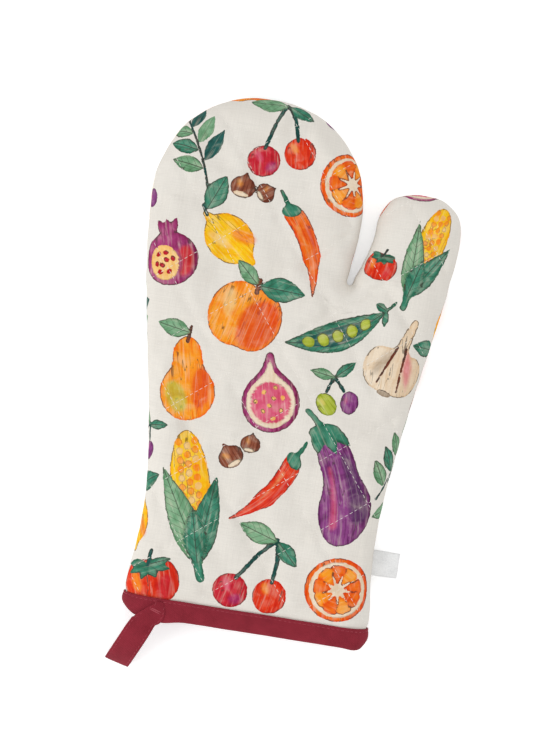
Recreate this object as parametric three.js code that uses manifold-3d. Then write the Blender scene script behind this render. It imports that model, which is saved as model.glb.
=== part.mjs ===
// Quilted oven mitt, lying on its back with the fingers along +Y and the thumb on the +X side.
// Two padded walls (printed cotton, wadding, lining) meet along a side seam, a folded tape binds
// the mouth, the tail of that tape makes the hanging loop, and a folded label is sewn in the seam.
// Millimetres, +Z up, origin in the middle of the footprint on the surface that the mitt lies on.
import * as THREE from "three";
import { mergeVertices } from "three/addons/utils/BufferGeometryUtils.js";
import Module from "manifold-3d";

const wasm = await Module();
wasm.setup();

// ---------------------------------------------------------------- driving dimensions, in mm

// Plan outline, measured from the middle of the cuff's edge.
const mittLength = 330;
const cuffWidth = 154.4;
const cuffStraight = 16; // the sides run straight for this far up from the cuff
const waistWidth = 146.6;
const waistHeight = 66;
const fingerWidth = 132.8;
const fingerOffset = -32.5; // the fingers' centre line, left of the cuff's
const fingerRound = 67; // height of the fingers' rounded end
const fingerFullness = 0.58; // 0.55 is an ellipse, more is squarer
const fingerNip = 3.4; // how far the fingers' inner side leans in towards the crotch
const thumbWidth = 53.4;
const thumbDrop = 44.6; // from the fingertips down to the thumb's tip
const thumbRound = 25;
const thumbFullness = 0.66;
const thumbLean = 9; // how far the thumb's inner side leans over from crotch to tip
const crotchDrop = 107.2; // from the fingertips down to the crotch
const crotchRadius = 1.8;

// Section through the two walls.
const frontRise = 15; // side seam to the top of the front wall
const backRise = 9; // surface that the mitt lies on to the side seam
const edgeRun = 18; // how far in from the seam a wall goes on rising
const seamBand = 2; // upright strip along the seam, where the walls meet edge to edge

// Layers.
const cloth = 0.6;
const wadding = 4;
const lining = 0.5;
const clearance = 0.3; // between any two pieces that touch on the real mitt

// Binding, loop, label and seam allowance.
const bindingWidth = 12.5;
const bindingCloth = 1;
const strapWidth = 16;
const strapThickness = 1.6;
const strapSkew = 24; // degrees that the loop leans away from the mitt's length
const loopLength = 36;
const loopInset = 15.7; // from the cuff's left end to the middle of the loop's root
const loopRoot = 5; // the two legs are stitched together for this far
const loopEye = 7.4; // height of the gap between the legs
const tabThickness = 1.2;
const labelWidth = 16;
const labelLength = 15;
const labelCloth = 0.4;
const labelSlit = 0.4;
const labelHeight = 54; // the label's middle, up from the cuff's edge
const allowanceWidth = 7;

// Roundness of the facets.
const edgeSteps = 4;
const fingerSteps = 20;
const thumbSteps = 12;
const crotchSteps = 6;
const sideSteps = 6;
const foldSteps = 6;

// ---------------------------------------------------------------- geometry helpers

// A closed three.js geometry as a solid that can be joined and cut.
function solid(geometry) {
  const bare = geometry.clone();
  bare.deleteAttribute("normal");
  bare.deleteAttribute("uv");
  const merged = mergeVertices(bare, 1e-4);
  return new wasm.Manifold(
    new wasm.Mesh({
      numProp: 3,
      vertProperties: merged.attributes.position.array,
      triVerts: new Uint32Array(merged.index.array),
    }),
  );
}

// A cut or joined solid as a geometry with flat facets.
function geometryOf(shape) {
  const mesh = shape.getMesh();
  const geometry = new THREE.BufferGeometry();
  geometry.setAttribute("position", new THREE.BufferAttribute(mesh.vertProperties, 3));
  geometry.setIndex(new THREE.BufferAttribute(mesh.triVerts, 1));
  const faceted = geometry.toNonIndexed();
  faceted.computeVertexNormals();
  return faceted;
}

// Everything between two heights of one axis, as a block far larger than the mitt.
function slab(axis, from, to) {
  const reach = 3 * mittLength;
  const low = { x: -reach, y: -reach, z: -reach, [axis]: from };
  const high = { x: reach, y: reach, z: reach, [axis]: to };
  const block = new THREE.BoxGeometry(high.x - low.x, high.y - low.y, high.z - low.z);
  block.translate((low.x + high.x) / 2, (low.y + high.y) / 2, (low.z + high.z) / 2);
  return solid(block);
}

const far = 2 * mittLength;

// ---------------------------------------------------------------- plan outline

const cuffHalf = cuffWidth / 2;
const loopOffset = loopInset - cuffHalf;
const waistHalf = waistWidth / 2;
const cuffRunOut = 2 * edgeRun; // below the mouth, cut away later
const vector = (x, y) => new THREE.Vector2(x, y);

// The points of an arc from one angle to another, in degrees.
function arc(x, y, radius, from, to, steps) {
  const curve = new THREE.EllipseCurve(
    x, y, radius, radius,
    THREE.MathUtils.degToRad(from), THREE.MathUtils.degToRad(to),
    to < from,
  );
  return curve.getPoints(steps);
}

// A rounded end, up its left side and down its right.
function roundedEnd(left, top, right, fullness, steps) {
  const rise = (top.y - left.y) * fullness;
  const halves = [
    new THREE.CubicBezierCurve(
      left,
      vector(left.x, left.y + rise),
      vector(top.x + (left.x - top.x) * fullness, top.y),
      top,
    ),
    new THREE.CubicBezierCurve(
      top,
      vector(top.x + (right.x - top.x) * fullness, top.y),
      vector(right.x, right.y + rise),
      right,
    ),
  ];
  return halves.flatMap((half) => half.getPoints(steps / 2));
}

// A side that leaves one point upright and arrives at the next upright.
function side(start, end, startPull, endPull) {
  const rise = end.y - start.y;
  const curve = new THREE.CubicBezierCurve(
    start,
    vector(start.x, start.y + rise * startPull),
    vector(end.x, end.y - rise * endPull),
    end,
  );
  return curve.getPoints(sideSteps);
}

// The cut outline of both walls, clockwise from the left end of the cuff.
function mittOutline() {
  const fingerTip = vector(fingerOffset, mittLength);
  const fingerLeft = vector(fingerOffset - fingerWidth / 2, mittLength - fingerRound);
  const fingerRight = vector(fingerOffset + fingerWidth / 2, mittLength - fingerRound);
  const crotchLeft = fingerRight.x - fingerNip;
  const crotchCentre = vector(
    crotchLeft + crotchRadius,
    mittLength - crotchDrop + crotchRadius,
  );
  const crotchRight = vector(crotchLeft + 2 * crotchRadius, crotchCentre.y);
  const thumbLeft = vector(
    crotchRight.x + thumbLean,
    mittLength - thumbDrop - thumbRound,
  );
  const thumbTip = vector(thumbLeft.x + thumbWidth / 2, mittLength - thumbDrop);
  const thumbRight = vector(thumbLeft.x + thumbWidth, thumbLeft.y);
  const pieces = [
    [vector(-cuffHalf, -cuffRunOut)],
    side(vector(-cuffHalf, cuffStraight), vector(-waistHalf, waistHeight), 0.2, 0.5),
    side(vector(-waistHalf, waistHeight), fingerLeft, 0.28, 0.3),
    roundedEnd(fingerLeft, fingerTip, fingerRight, fingerFullness, fingerSteps),
    side(fingerRight, vector(crotchLeft, crotchCentre.y), 0.4, 0.1),
    arc(crotchCentre.x, crotchCentre.y, crotchRadius, 180, 340, crotchSteps),
    side(crotchRight, thumbLeft, 0.1, 0.4).slice(1),
    roundedEnd(thumbLeft, thumbTip, thumbRight, thumbFullness, thumbSteps),
    side(thumbRight, vector(waistHalf, waistHeight), 0.2, 0.3),
    side(vector(waistHalf, waistHeight), vector(cuffHalf, cuffStraight), 0.5, 0.2),
    [vector(cuffHalf, -cuffRunOut)],
  ];
  return pieces.flat().filter((p, i, all) => i === 0 || p.distanceTo(all[i - 1]) > 0.05);
}

const outline = new THREE.Shape(mittOutline());

// ---------------------------------------------------------------- the two padded walls

const seamHalf = seamBand / 2;
const sides = { front: { rise: frontRise, sign: 1 }, back: { rise: backRise, sign: -1 } };

// A pillow with the mitt's outline set in by inset all round: an upright band at the seam, then a
// quarter ellipse up to a flat top. It is the same above and below the seam plane, z = 0.
const pillows = new Map();
function pillow(inset, rise) {
  const key = `${inset.toFixed(4)} ${rise}`;
  if (!pillows.has(key)) {
    const geometry = new THREE.ExtrudeGeometry(outline, {
      depth: seamBand,
      steps: 1,
      bevelEnabled: true,
      bevelThickness: rise - seamHalf - inset,
      bevelSize: edgeRun - inset,
      bevelOffset: -edgeRun,
      bevelSegments: edgeSteps,
    });
    geometry.translate(0, 0, -seamHalf);
    pillows.set(key, solid(geometry));
  }
  return pillows.get(key);
}

// Depths of the faces between the layers, from the outside in: in the open wall, and inside the
// binding, where the tape pinches the wadding. Each steps from one to the other at its own height.
const wallDepth = cloth + wadding + lining + 2 * clearance;
const outerPinch = bindingCloth + clearance;
const stepHeight = bindingWidth + clearance;
const faces = {
  clothOuter: { open: 0, bound: outerPinch, step: stepHeight },
  clothInner: { open: cloth, bound: outerPinch + cloth, step: stepHeight + cloth },
  waddingOuter: {
    open: cloth + clearance,
    bound: outerPinch + cloth + clearance,
    step: stepHeight + cloth + clearance,
  },
  waddingInner: {
    open: cloth + clearance + wadding,
    bound: wallDepth - outerPinch - lining - clearance,
    step: stepHeight + lining + clearance,
  },
  liningOuter: {
    open: wallDepth - lining,
    bound: wallDepth - outerPinch - lining,
    step: stepHeight + lining,
  },
  liningInner: { open: wallDepth, bound: wallDepth - outerPinch, step: stepHeight },
};

// All that lies inside one of those faces.
function within(face, rise) {
  const open = pillow(face.open, rise);
  const bound = pillow(face.bound, rise);
  const aboveStep = slab("y", face.step, far);
  const belowStep = slab("y", -far, face.step);
  return face.open < face.bound
    ? open.intersect(aboveStep).add(bound)
    : bound.intersect(belowStep).add(open);
}

// One layer of one wall, from the mouth to the fingertips and down to the seam.
function layer(outer, inner, { rise, sign }) {
  const half = sign > 0 ? slab("z", clearance / 2, far) : slab("z", -far, -clearance / 2);
  return within(outer, rise)
    .subtract(within(inner, rise))
    .intersect(half)
    .intersect(slab("y", outerPinch, far));
}

// ---------------------------------------------------------------- binding

// The mouth's outline at one inset, as a ring of points in the x-z plane that matches the pillows.
function mouthRing(inset) {
  const flat = cuffHalf - edgeRun;
  const quarter = ({ rise, sign }, hand) =>
    Array.from({ length: edgeSteps + 1 }, (_, i) => {
      const angle = (i / edgeSteps) * (Math.PI / 2);
      const x = flat + (edgeRun - inset) * Math.sin(angle);
      const z = seamHalf + (rise - seamHalf - inset) * Math.cos(angle);
      return vector(hand * x, sign * z);
    });
  return [
    quarter(sides.front, 1),
    quarter(sides.back, 1).reverse(),
    quarter(sides.back, -1),
    quarter(sides.front, -1).reverse(),
  ].flat();
}

// A closed section of (inset, height) points carried round the mouth.
function carriedRoundMouth(section) {
  const rings = section.map(([inset, height]) =>
    mouthRing(inset).map((p) => [p.x, height, p.y]),
  );
  const around = rings[0].length;
  const positions = rings.flat(2);
  const index = [];
  for (let j = 0; j < rings.length; j++) {
    const next = ((j + 1) % rings.length) * around;
    for (let i = 0; i < around; i++) {
      const beside = (i + 1) % around;
      const here = j * around;
      index.push(here + i, next + i, here + beside);
      index.push(here + beside, next + i, next + beside);
    }
  }
  const geometry = new THREE.BufferGeometry();
  geometry.setAttribute("position", new THREE.Float32BufferAttribute(positions, 3));
  geometry.setIndex(index);
  return geometry.toNonIndexed();
}

// The tape's section: a leg outside, a round fold under the raw edges, and a leg inside.
function bindingSection() {
  const foldRadius = wallDepth / 2;
  const fold = Array.from({ length: foldSteps + 1 }, (_, i) => {
    const angle = (i / foldSteps) * Math.PI;
    return [
      foldRadius - foldRadius * Math.cos(angle),
      foldRadius - foldRadius * Math.sin(angle),
    ];
  });
  return [
    [0, bindingWidth],
    ...fold,
    [wallDepth, bindingWidth],
    [wallDepth - bindingCloth, bindingWidth],
    [wallDepth - bindingCloth, bindingCloth],
    [bindingCloth, bindingCloth],
    [bindingCloth, bindingWidth],
  ];
}

// Leans a geometry's far end sideways by the loop's skew, keeping lines across it parallel to x.
function lean(geometry) {
  const slope = Math.tan(THREE.MathUtils.degToRad(strapSkew));
  return geometry.applyMatrix4(new THREE.Matrix4().makeShear(0, 0, slope, 0, 0, 0));
}

const strapAcross = strapWidth / Math.cos(THREE.MathUtils.degToRad(strapSkew));

// The tape's tail, turned down over the front leg and tacked there before it runs on as the loop.
function bindingTail() {
  const depth = tabThickness + bindingCloth / 2;
  const height = bindingWidth - wallDepth / 2;
  const tab = new THREE.BoxGeometry(strapAcross, height, depth);
  tab.translate(0, height / 2, 0);
  lean(tab);
  tab.translate(
    loopOffset,
    wallDepth / 2,
    frontRise + tabThickness - depth / 2,
  );
  return solid(tab);
}

function bindingGeometry() {
  const ring = solid(carriedRoundMouth(bindingSection()));
  return geometryOf(ring.add(bindingTail()));
}

// ---------------------------------------------------------------- hanging loop

// Hinge line: along the binding's lower edge, where the strap's two legs are stitched together.
const loopHinge = new THREE.Vector3(
  loopOffset,
  -clearance - strapThickness,
  frontRise - wallDepth / 2,
);
const hingeHeight = backRise + loopHinge.z;
// The free end rests on the surface that the mitt lies on.
const loopDroop = Math.asin(
  (hingeHeight - strapThickness - clearance) / (loopLength - strapThickness),
);

// The strap seen from its side, root at the origin and running along -y: a flat lower leg, a
// pressed fold at the far end and an arched upper leg, with the eye between them.
function loopProfile() {
  const t = strapThickness;
  const end = -loopLength + t;
  const eyeEnd = end;
  const eyeMiddle = (eyeEnd - loopRoot) / 2;
  const pull = (loopRoot + eyeEnd) / 4; // negative: towards the far end
  const crest = (4 / 3) * loopEye;
  const profile = new THREE.Shape();
  profile.moveTo(0, -t);
  profile.absarc(end, 0, t, -Math.PI / 2, -Math.PI * 1.25, true);
  profile.bezierCurveTo(
    eyeMiddle + 1.2 * pull, crest + t,
    eyeMiddle - 1.2 * pull, crest + t,
    -loopRoot + t, t,
  );
  profile.lineTo(0, t);
  profile.absarc(0, 0, t, Math.PI / 2, -Math.PI / 2, true);
  const eye = new THREE.Path();
  eye.moveTo(-loopRoot, 0);
  eye.bezierCurveTo(
    eyeMiddle - pull, crest,
    eyeMiddle + pull, crest,
    eyeEnd, 0,
  );
  eye.closePath();
  profile.holes.push(eye);
  return profile;
}

function loopGeometry() {
  const geometry = new THREE.ExtrudeGeometry(loopProfile(), {
    depth: strapAcross,
    bevelEnabled: false,
    curveSegments: 8,
  });
  geometry.translate(0, 0, -strapAcross / 2);
  // Profile x becomes y, profile y becomes z, and the strap's width lies along x.
  const turn = new THREE.Matrix4().makeBasis(
    new THREE.Vector3(0, 1, 0), new THREE.Vector3(0, 0, 1), new THREE.Vector3(1, 0, 0),
  );
  geometry.applyMatrix4(turn);
  return lean(geometry);
}

// ---------------------------------------------------------------- label and seam allowance

// The seam's widest point beside the label, so that the label clears the wall all along.
function seamBesideLabel() {
  const low = labelHeight - labelWidth / 2;
  const high = labelHeight + labelWidth / 2;
  const points = outline.getPoints().filter((p) => p.x > 0);
  const widths = [];
  points.forEach((p, i) => {
    const q = points[(i + 1) % points.length];
    for (const y of [low, high]) {
      if ((p.y - y) * (q.y - y) <= 0 && p.y !== q.y) {
        widths.push(p.x + ((q.x - p.x) * (y - p.y)) / (q.y - p.y));
      }
    }
    if (p.y > low && p.y < high) widths.push(p.x);
  });
  return Math.max(...widths);
}

const labelRoot = labelCloth + labelSlit / 2; // radius of the rounded root and fold
const labelHinge = new THREE.Vector3(
  seamBesideLabel() + clearance + labelRoot,
  labelHeight,
  0,
);

// A label folded in two, seen along the seam: root at the origin and the fold at the far end.
function labelGeometry() {
  const end = labelLength - labelRoot;
  const slit = labelSlit / 2;
  const profile = new THREE.Shape();
  profile.absarc(0, 0, labelRoot, Math.PI / 2, Math.PI * 1.5, false);
  profile.absarc(end, 0, labelRoot, -Math.PI / 2, Math.PI / 2, false);
  profile.closePath();
  const gap = new THREE.Path();
  gap.absarc(end, 0, slit, -Math.PI / 2, Math.PI / 2, false);
  gap.lineTo(labelRoot, slit);
  gap.lineTo(labelRoot, -slit);
  gap.closePath();
  profile.holes.push(gap);
  const geometry = new THREE.ExtrudeGeometry(profile, {
    depth: labelWidth,
    bevelEnabled: false,
    curveSegments: 4,
  });
  geometry.translate(0, 0, -labelWidth / 2);
  return geometry.rotateX(Math.PI / 2);
}

// A flat plate with the outline set in by inset, as thick as the band where the walls meet.
function plate(inset) {
  const geometry = new THREE.ExtrudeGeometry(outline, {
    depth: seamHalf,
    steps: 1,
    bevelEnabled: true,
    bevelThickness: seamHalf / 2,
    bevelSize: 0,
    bevelOffset: -inset,
    bevelSegments: 1,
  });
  geometry.translate(0, 0, -seamHalf / 2);
  return solid(geometry);
}

// The raw edges of both walls, overlocked together and turned to the inside.
function allowanceGeometry() {
  const outer = wallDepth + clearance;
  return geometryOf(
    plate(outer)
      .subtract(plate(outer + allowanceWidth))
      .intersect(slab("y", outerPinch, far)),
  );
}

// ---------------------------------------------------------------- materials

const fabric = (color, roughness) =>
  new THREE.MeshStandardMaterial({ color, roughness, metalness: 0 });
const printedCotton = fabric(0xe3dfd7, 0.9);
const waddingFelt = fabric(0xf1eee6, 1);
const liningCotton = fabric(0xe9e4d8, 0.95);
const bindingCotton = fabric(0x862a32, 0.85);
const labelSatin = fabric(0xe9e9e6, 0.6);
const overlockThread = fabric(0xf2efe8, 0.8);

// ---------------------------------------------------------------- assembly

const mitt = new THREE.Group();

function add(name, geometry, material, position) {
  const mesh = new THREE.Mesh(geometry, material);
  mesh.name = name;
  if (position) mesh.position.copy(position);
  mitt.add(mesh);
  return mesh;
}

for (const [name, wall] of Object.entries(sides)) {
  const { clothOuter, clothInner, waddingOuter, waddingInner, liningOuter, liningInner } = faces;
  add(`${name}_outer`, geometryOf(layer(clothOuter, clothInner, wall)), printedCotton);
  add(`${name}_wadding`, geometryOf(layer(waddingOuter, waddingInner, wall)), waddingFelt);
  add(`${name}_lining`, geometryOf(layer(liningOuter, liningInner, wall)), liningCotton);
}
add("overlocked_seam", allowanceGeometry(), overlockThread);
add("cuff_binding", bindingGeometry(), bindingCotton);
add("side_label", labelGeometry(), labelSatin, labelHinge);
const loop = add("hanging_loop", loopGeometry(), bindingCotton, loopHinge);
loop.rotation.x = loopDroop;

// Stand the mitt on z = 0 with the middle of its footprint at the origin.
mitt.updateMatrixWorld(true);
const box = new THREE.Box3().setFromObject(mitt, true);
const middle = box.getCenter(new THREE.Vector3());
mitt.position.set(-middle.x, -middle.y, backRise);

const part = new THREE.Group();
part.add(mitt);
export default part;
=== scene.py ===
"""Quilted cotton oven mitt lying on its back: two quilted walls, a bound cuff, a hanging loop and a
side label. Lengths are in millimetres from the middle of the cuff's edge, fingers along +Y, thumb on
the +X side, and are turned to metres in the part's frame when a piece is finished."""

import math

import bmesh
import bpy
import numpy as np
from mathutils import Matrix, Vector, noise
from mathutils.bvhtree import BVHTree
from mathutils.geometry import interpolate_bezier


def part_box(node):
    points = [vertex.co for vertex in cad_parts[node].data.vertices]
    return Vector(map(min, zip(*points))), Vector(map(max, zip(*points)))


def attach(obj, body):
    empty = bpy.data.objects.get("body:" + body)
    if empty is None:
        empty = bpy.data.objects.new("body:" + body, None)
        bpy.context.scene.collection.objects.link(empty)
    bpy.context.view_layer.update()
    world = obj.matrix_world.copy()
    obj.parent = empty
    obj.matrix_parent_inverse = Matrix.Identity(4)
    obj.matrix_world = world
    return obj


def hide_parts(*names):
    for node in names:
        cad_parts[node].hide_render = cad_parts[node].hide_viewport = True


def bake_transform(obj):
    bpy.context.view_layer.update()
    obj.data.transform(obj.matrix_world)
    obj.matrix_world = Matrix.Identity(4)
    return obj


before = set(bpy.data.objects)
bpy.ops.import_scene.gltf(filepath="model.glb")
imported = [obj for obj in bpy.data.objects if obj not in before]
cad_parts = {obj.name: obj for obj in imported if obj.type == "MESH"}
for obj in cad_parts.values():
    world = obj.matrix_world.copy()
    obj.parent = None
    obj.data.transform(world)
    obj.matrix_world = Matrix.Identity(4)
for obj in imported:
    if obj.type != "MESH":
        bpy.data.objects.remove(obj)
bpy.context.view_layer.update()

# ---------------------------------------------------------------- sizes of the real mitt, in mm

MITT_LENGTH = 330
CUFF_HALF = 77.2
CUFF_STRAIGHT = 16
BELOW_CUFF = 36  # the outline runs on this far, so that nothing turns at the cuff's edge
WAIST_HALF = 73.3
WAIST_HEIGHT = 66
FINGER_LEFT, FINGER_MIDDLE, FINGER_RIGHT = -98.9, -32.5, 33.9
FINGER_SHOULDER = 263
CROTCH_LEFT, CROTCH_HEIGHT, CROTCH_RADIUS = 30.5, 222.8, 1.8
THUMB_LEFT, THUMB_MIDDLE, THUMB_RIGHT = 43.1, 69.8, 96.5
THUMB_SHOULDER, THUMB_TIP = 260.4, 285.4

FRONT_RISE, BACK_RISE = 15, 9
EDGE_RUN = 18
SEAM_HALF = 1
ALLOWANCE_ROOT, ALLOWANCE = 5.2, 11.6  # the allowance shows from where the linings meet
BINDING = 12.5
LAYERS_END = 3.4  # the layers' cut edges lie this far up inside the tape

QUILT_PITCH = 37.5
QUILT_ANGLES = 38.5, -52.0  # degrees, of the two families of quilting lines
FRONT_LINES_THROUGH = (-19.0, 72.4), (-3.2, 298.7)  # a point on a line of each family
BACK_LINES_THROUGH = (12.0, 150.0), (6.0, 160.0)
QUILT_CELLS, PAD_CELLS = 17, 6  # mesh faces between two quilting lines, of the cloth and the pads
QUILT_REACH = 360  # the lines are drawn this far either way, which is past every edge
SNAP = 0.05  # closer than this, points and cuts count as one

# What the cloth does between its stitches: height or depth, and width.
GROOVE, GROOVE_WIDTH = 1.0, 3.2
CREASE, CREASE_WIDTH = 2.6, 16
PUCKER, PUCKER_WIDTH, PUCKER_REACH = 1.2, 7, 6  # the reach is to either side of the stitches
CROTCH_PULL, CROTCH_PULL_WIDTH = 1.5, 45

CLOTH_THICKNESS, LABEL_THICKNESS, ALLOWANCE_THICKNESS = 0.6, 0.3, 0.8
# Stitches: visible length and half thickness of the thread, then how far apart they are.
QUILT_STITCH, TAPE_STITCH, TACK_STITCH, OVERLOCK_STITCH = (
    (2.5, 0.16), (2.3, 0.17), (2.6, 0.2), (4.6, 0.22)
)  # fmt: skip
QUILT_STITCH_PITCH, TAPE_STITCH_PITCH, OVERLOCK_PITCH = 3.4, 3.0, 2.2

# ---------------------------------------------------------------- the part's frame

cuff_low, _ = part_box("cuff_binding")
seam_level = (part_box("front_outer")[0].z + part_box("back_outer")[1].z) / 2
PLACE = Matrix.Translation(
    (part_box("front_outer")[0].x - FINGER_LEFT / 1000, cuff_low.y, seam_level)
) @ Matrix.Scale(0.001, 4)


def smooth(x, low, high):
    """Rises from 0 at the low value to 1 at the high one, without corners."""
    t = np.clip((x - low) / (high - low), 0, 1)
    return t * t * (3 - 2 * t)


def points_of(mesh):
    found = np.empty(len(mesh.vertices) * 3)
    mesh.vertices.foreach_get("co", found)
    return found.reshape(-1, 3)


def heading(degrees):
    """The direction in plan at this angle from the mitt's +X."""
    a = math.radians(degrees)
    return np.array([math.cos(a), math.sin(a)])


def turned(points, degrees):
    """Plan points seen from axes that are turned by this angle."""
    x, y = heading(degrees)
    return points @ np.array([[x, -y], [y, x]])


def lengths_along(path):
    """How far along a path each of its points lies."""
    return np.r_[0, np.cumsum(np.linalg.norm(np.diff(path, axis=0), axis=1))]


def point_along(path, along, s):
    """The point of a path, or the points, this far along it."""
    return np.stack([np.interp(s, along, part) for part in path.T], axis=-1)


# ---------------------------------------------------------------- outline


def bezier(start, leave, arrive, end, steps=24):
    flat = [Vector((*p, 0)) for p in (start, leave, arrive, end)]
    return [p.to_2d() for p in interpolate_bezier(flat[0], flat[1], flat[2], flat[3], steps)]


def side(start, end, leave, arrive):
    """A side seam that leaves and arrives straight along the mitt."""
    rise = end[1] - start[1]
    return bezier(start, (start[0], start[1] + rise * leave), (end[0], end[1] - rise * arrive), end)


def rounded_end(left, top, right, fullness):
    """A round end, from its left foot over its top to its right foot."""
    rise = (top[1] - left[1]) * fullness
    before = (top[0] + (left[0] - top[0]) * fullness, top[1])
    after = (top[0] + (right[0] - top[0]) * fullness, top[1])
    out = bezier(left, (left[0], left[1] + rise), before, top)
    return out + bezier(top, after, (right[0], right[1] + rise), right)


def seam_outline(spacing=1.6):
    """The seam round the mitt, from below the cuff's left end to below its right end, evenly spaced."""
    crotch = (CROTCH_LEFT + CROTCH_RADIUS, CROTCH_HEIGHT + CROTCH_RADIUS)
    turn = [
        Vector(crotch) + Vector((math.cos(a), math.sin(a))) * CROTCH_RADIUS
        for a in np.radians(np.linspace(180, 350, 12))
    ]
    fingers = (FINGER_LEFT, FINGER_SHOULDER), (FINGER_RIGHT, FINGER_SHOULDER)
    thumb = (THUMB_LEFT, THUMB_SHOULDER), (THUMB_RIGHT, THUMB_SHOULDER)
    path = (
        [Vector((-CUFF_HALF, -BELOW_CUFF))]
        + side((-CUFF_HALF, CUFF_STRAIGHT), (-WAIST_HALF, WAIST_HEIGHT), 0.2, 0.5)
        + side((-WAIST_HALF, WAIST_HEIGHT), fingers[0], 0.28, 0.3)
        + rounded_end(fingers[0], (FINGER_MIDDLE, MITT_LENGTH), fingers[1], 0.58)
        + side(fingers[1], (CROTCH_LEFT, crotch[1]), 0.4, 0.1)
        + turn
        + side((crotch[0] + CROTCH_RADIUS, crotch[1]), thumb[0], 0.1, 0.4)
        + rounded_end(thumb[0], (THUMB_MIDDLE, THUMB_TIP), thumb[1], 0.66)
        + side(thumb[1], (WAIST_HALF, WAIST_HEIGHT), 0.2, 0.3)
        + side((WAIST_HALF, WAIST_HEIGHT), (CUFF_HALF, CUFF_STRAIGHT), 0.5, 0.2)
        + [Vector((CUFF_HALF, -BELOW_CUFF))]
    )
    path = np.array([tuple(p) for p in path])
    step = np.linalg.norm(np.diff(path, axis=0), axis=1)
    path = path[np.r_[True, step > 0.01]]
    along = lengths_along(path)
    return point_along(path, along, np.linspace(0, along[-1], round(along[-1] / spacing) + 1))


OUTLINE = seam_outline()


def inset_of(points):
    """How far in from the seam each point lies, and the direction inwards, in plan."""
    start, end = OUTLINE[:-1], OUTLINE[1:]
    run = end - start
    square = np.c_[run[:, 1], -run[:, 0]] / np.linalg.norm(run, axis=1)[:, None]
    corner = np.r_[square[:1], square[1:] + square[:-1], square[-1:]]
    corner /= np.linalg.norm(corner, axis=1)[:, None]
    best = np.full(len(points), 1e9)
    inward = np.zeros((len(points), 2))
    for first in range(0, len(points), 2000):
        p = points[first : first + 2000, None, :2]
        t = np.clip(((p - start) * run).sum(2) / (run**2).sum(1), 0, 1)
        away = p - (start + run * t[:, :, None])
        distance = np.linalg.norm(away, axis=2)
        nearest = distance.argmin(1)
        row = np.arange(len(nearest))
        reach = distance[row, nearest][:, None]
        share = t[row, nearest][:, None]
        edgeways = corner[nearest] * (1 - share) + corner[nearest + 1] * share
        best[first : first + 2000] = reach[:, 0]
        inward[first : first + 2000] = np.where(
            reach > 0.5, away[row, nearest] / np.maximum(reach, 1e-6), edgeways
        )
    return best, inward


def within_outline(points):
    """Whether each point lies inside the seam, by the edges that a line to its right crosses."""
    ring = np.r_[OUTLINE, OUTLINE[:1]]
    (x1, y1), (x2, y2) = ring[:-1].T, ring[1:].T
    x, y = points[:, 0, None], points[:, 1, None]
    straddle = (y1 > y) != (y2 > y)
    crossing = x1 + (y - y1) * (x2 - x1) / np.where(y2 == y1, 1, y2 - y1)
    return (straddle & (crossing > x)).sum(1) % 2 == 1


def quilt_distance(points, lines):
    """Distance in plan to the nearest quilting line of each of the two families, signed."""
    found = []
    for angle, (x, y) in lines:
        a = math.radians(angle)
        t = (points[:, 1] - y) * math.cos(a) - (points[:, 0] - x) * math.sin(a)
        found.append((t + QUILT_PITCH / 2) % QUILT_PITCH - QUILT_PITCH / 2)
    return np.array(found)


# ---------------------------------------------------------------- quilted sheets


def outline_face(skin, rings):
    """Fills the seam's outline with rings of faces of these widths, round the face it returns."""
    middle = skin.faces.new([skin.verts.new((x, y, 0)) for x, y in OUTLINE])
    for width in rings:
        bmesh.ops.inset_region(
            skin, faces=[middle], thickness=width, use_boundary=True, use_even_offset=True
        )
    return middle


def cut_below(skin, height, near):
    """Cuts away what lies lower than this height above the cuff's edge."""
    bmesh.ops.bisect_plane(
        skin,
        geom=skin.verts[:] + skin.edges[:] + skin.faces[:],
        dist=near,
        plane_co=(0, height, 0),
        plane_no=(0, -1, 0),
        clear_outer=True,
    )


def quilted_sheet(cells, rings, lines, tuck=True):
    """The mitt's shape cut flat: rings of faces along the seam, quilting squares inside them, with
    mesh edges along every line of stitches, and a rim that will be tucked in at the seam."""
    sheet = bmesh.new()
    outline_face(sheet, rings).material_index = 1
    for fine in (False, True):
        for angle, through in lines:
            x, y = heading(angle)
            across = Vector((-y, x, 0))
            first = int(-QUILT_REACH / QUILT_PITCH * cells)
            for n in range(first, -first):
                if fine == (n % cells == 0):
                    continue
                faces = [f for f in sheet.faces if not fine or f.material_index == 1]
                edges = {e for f in faces for e in f.edges}
                verts = {v for f in faces for v in f.verts}
                bmesh.ops.bisect_plane(
                    sheet,
                    geom=[*faces, *edges, *verts],
                    dist=SNAP,
                    plane_co=Vector((*through, 0)) + across * (n * QUILT_PITCH / cells),
                    plane_no=across,
                )
    cut_below(sheet, LAYERS_END, SNAP)
    bmesh.ops.remove_doubles(sheet, verts=sheet.verts[:], dist=0.3)
    bmesh.ops.dissolve_degenerate(sheet, edges=sheet.edges[:], dist=SNAP)
    tucked = sheet.verts.layers.float.new("tucked")
    top = LAYERS_END + 0.4
    rim = [e for e in sheet.edges if e.is_boundary and max(v.co.y for v in e.verts) > top]
    bmesh.ops.recalc_face_normals(sheet, faces=sheet.faces[:])
    if sum(f.normal.z for f in sheet.faces) < 0:
        bmesh.ops.reverse_faces(sheet, faces=sheet.faces[:])
    for turn in (1.0, 2.0) if tuck else ():
        made = bmesh.ops.extrude_edge_only(sheet, edges=rim)["geom"]
        rim = [e for e in made if isinstance(e, bmesh.types.BMEdge)]
        for vert in {v for e in rim for v in e.verts}:
            vert[tucked] = turn
    for face in sheet.faces:
        face.material_index = 0
        face.smooth = True
    mesh = bpy.data.meshes.new("quilted_sheet")
    sheet.to_mesh(mesh)
    sheet.free()
    return mesh


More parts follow.
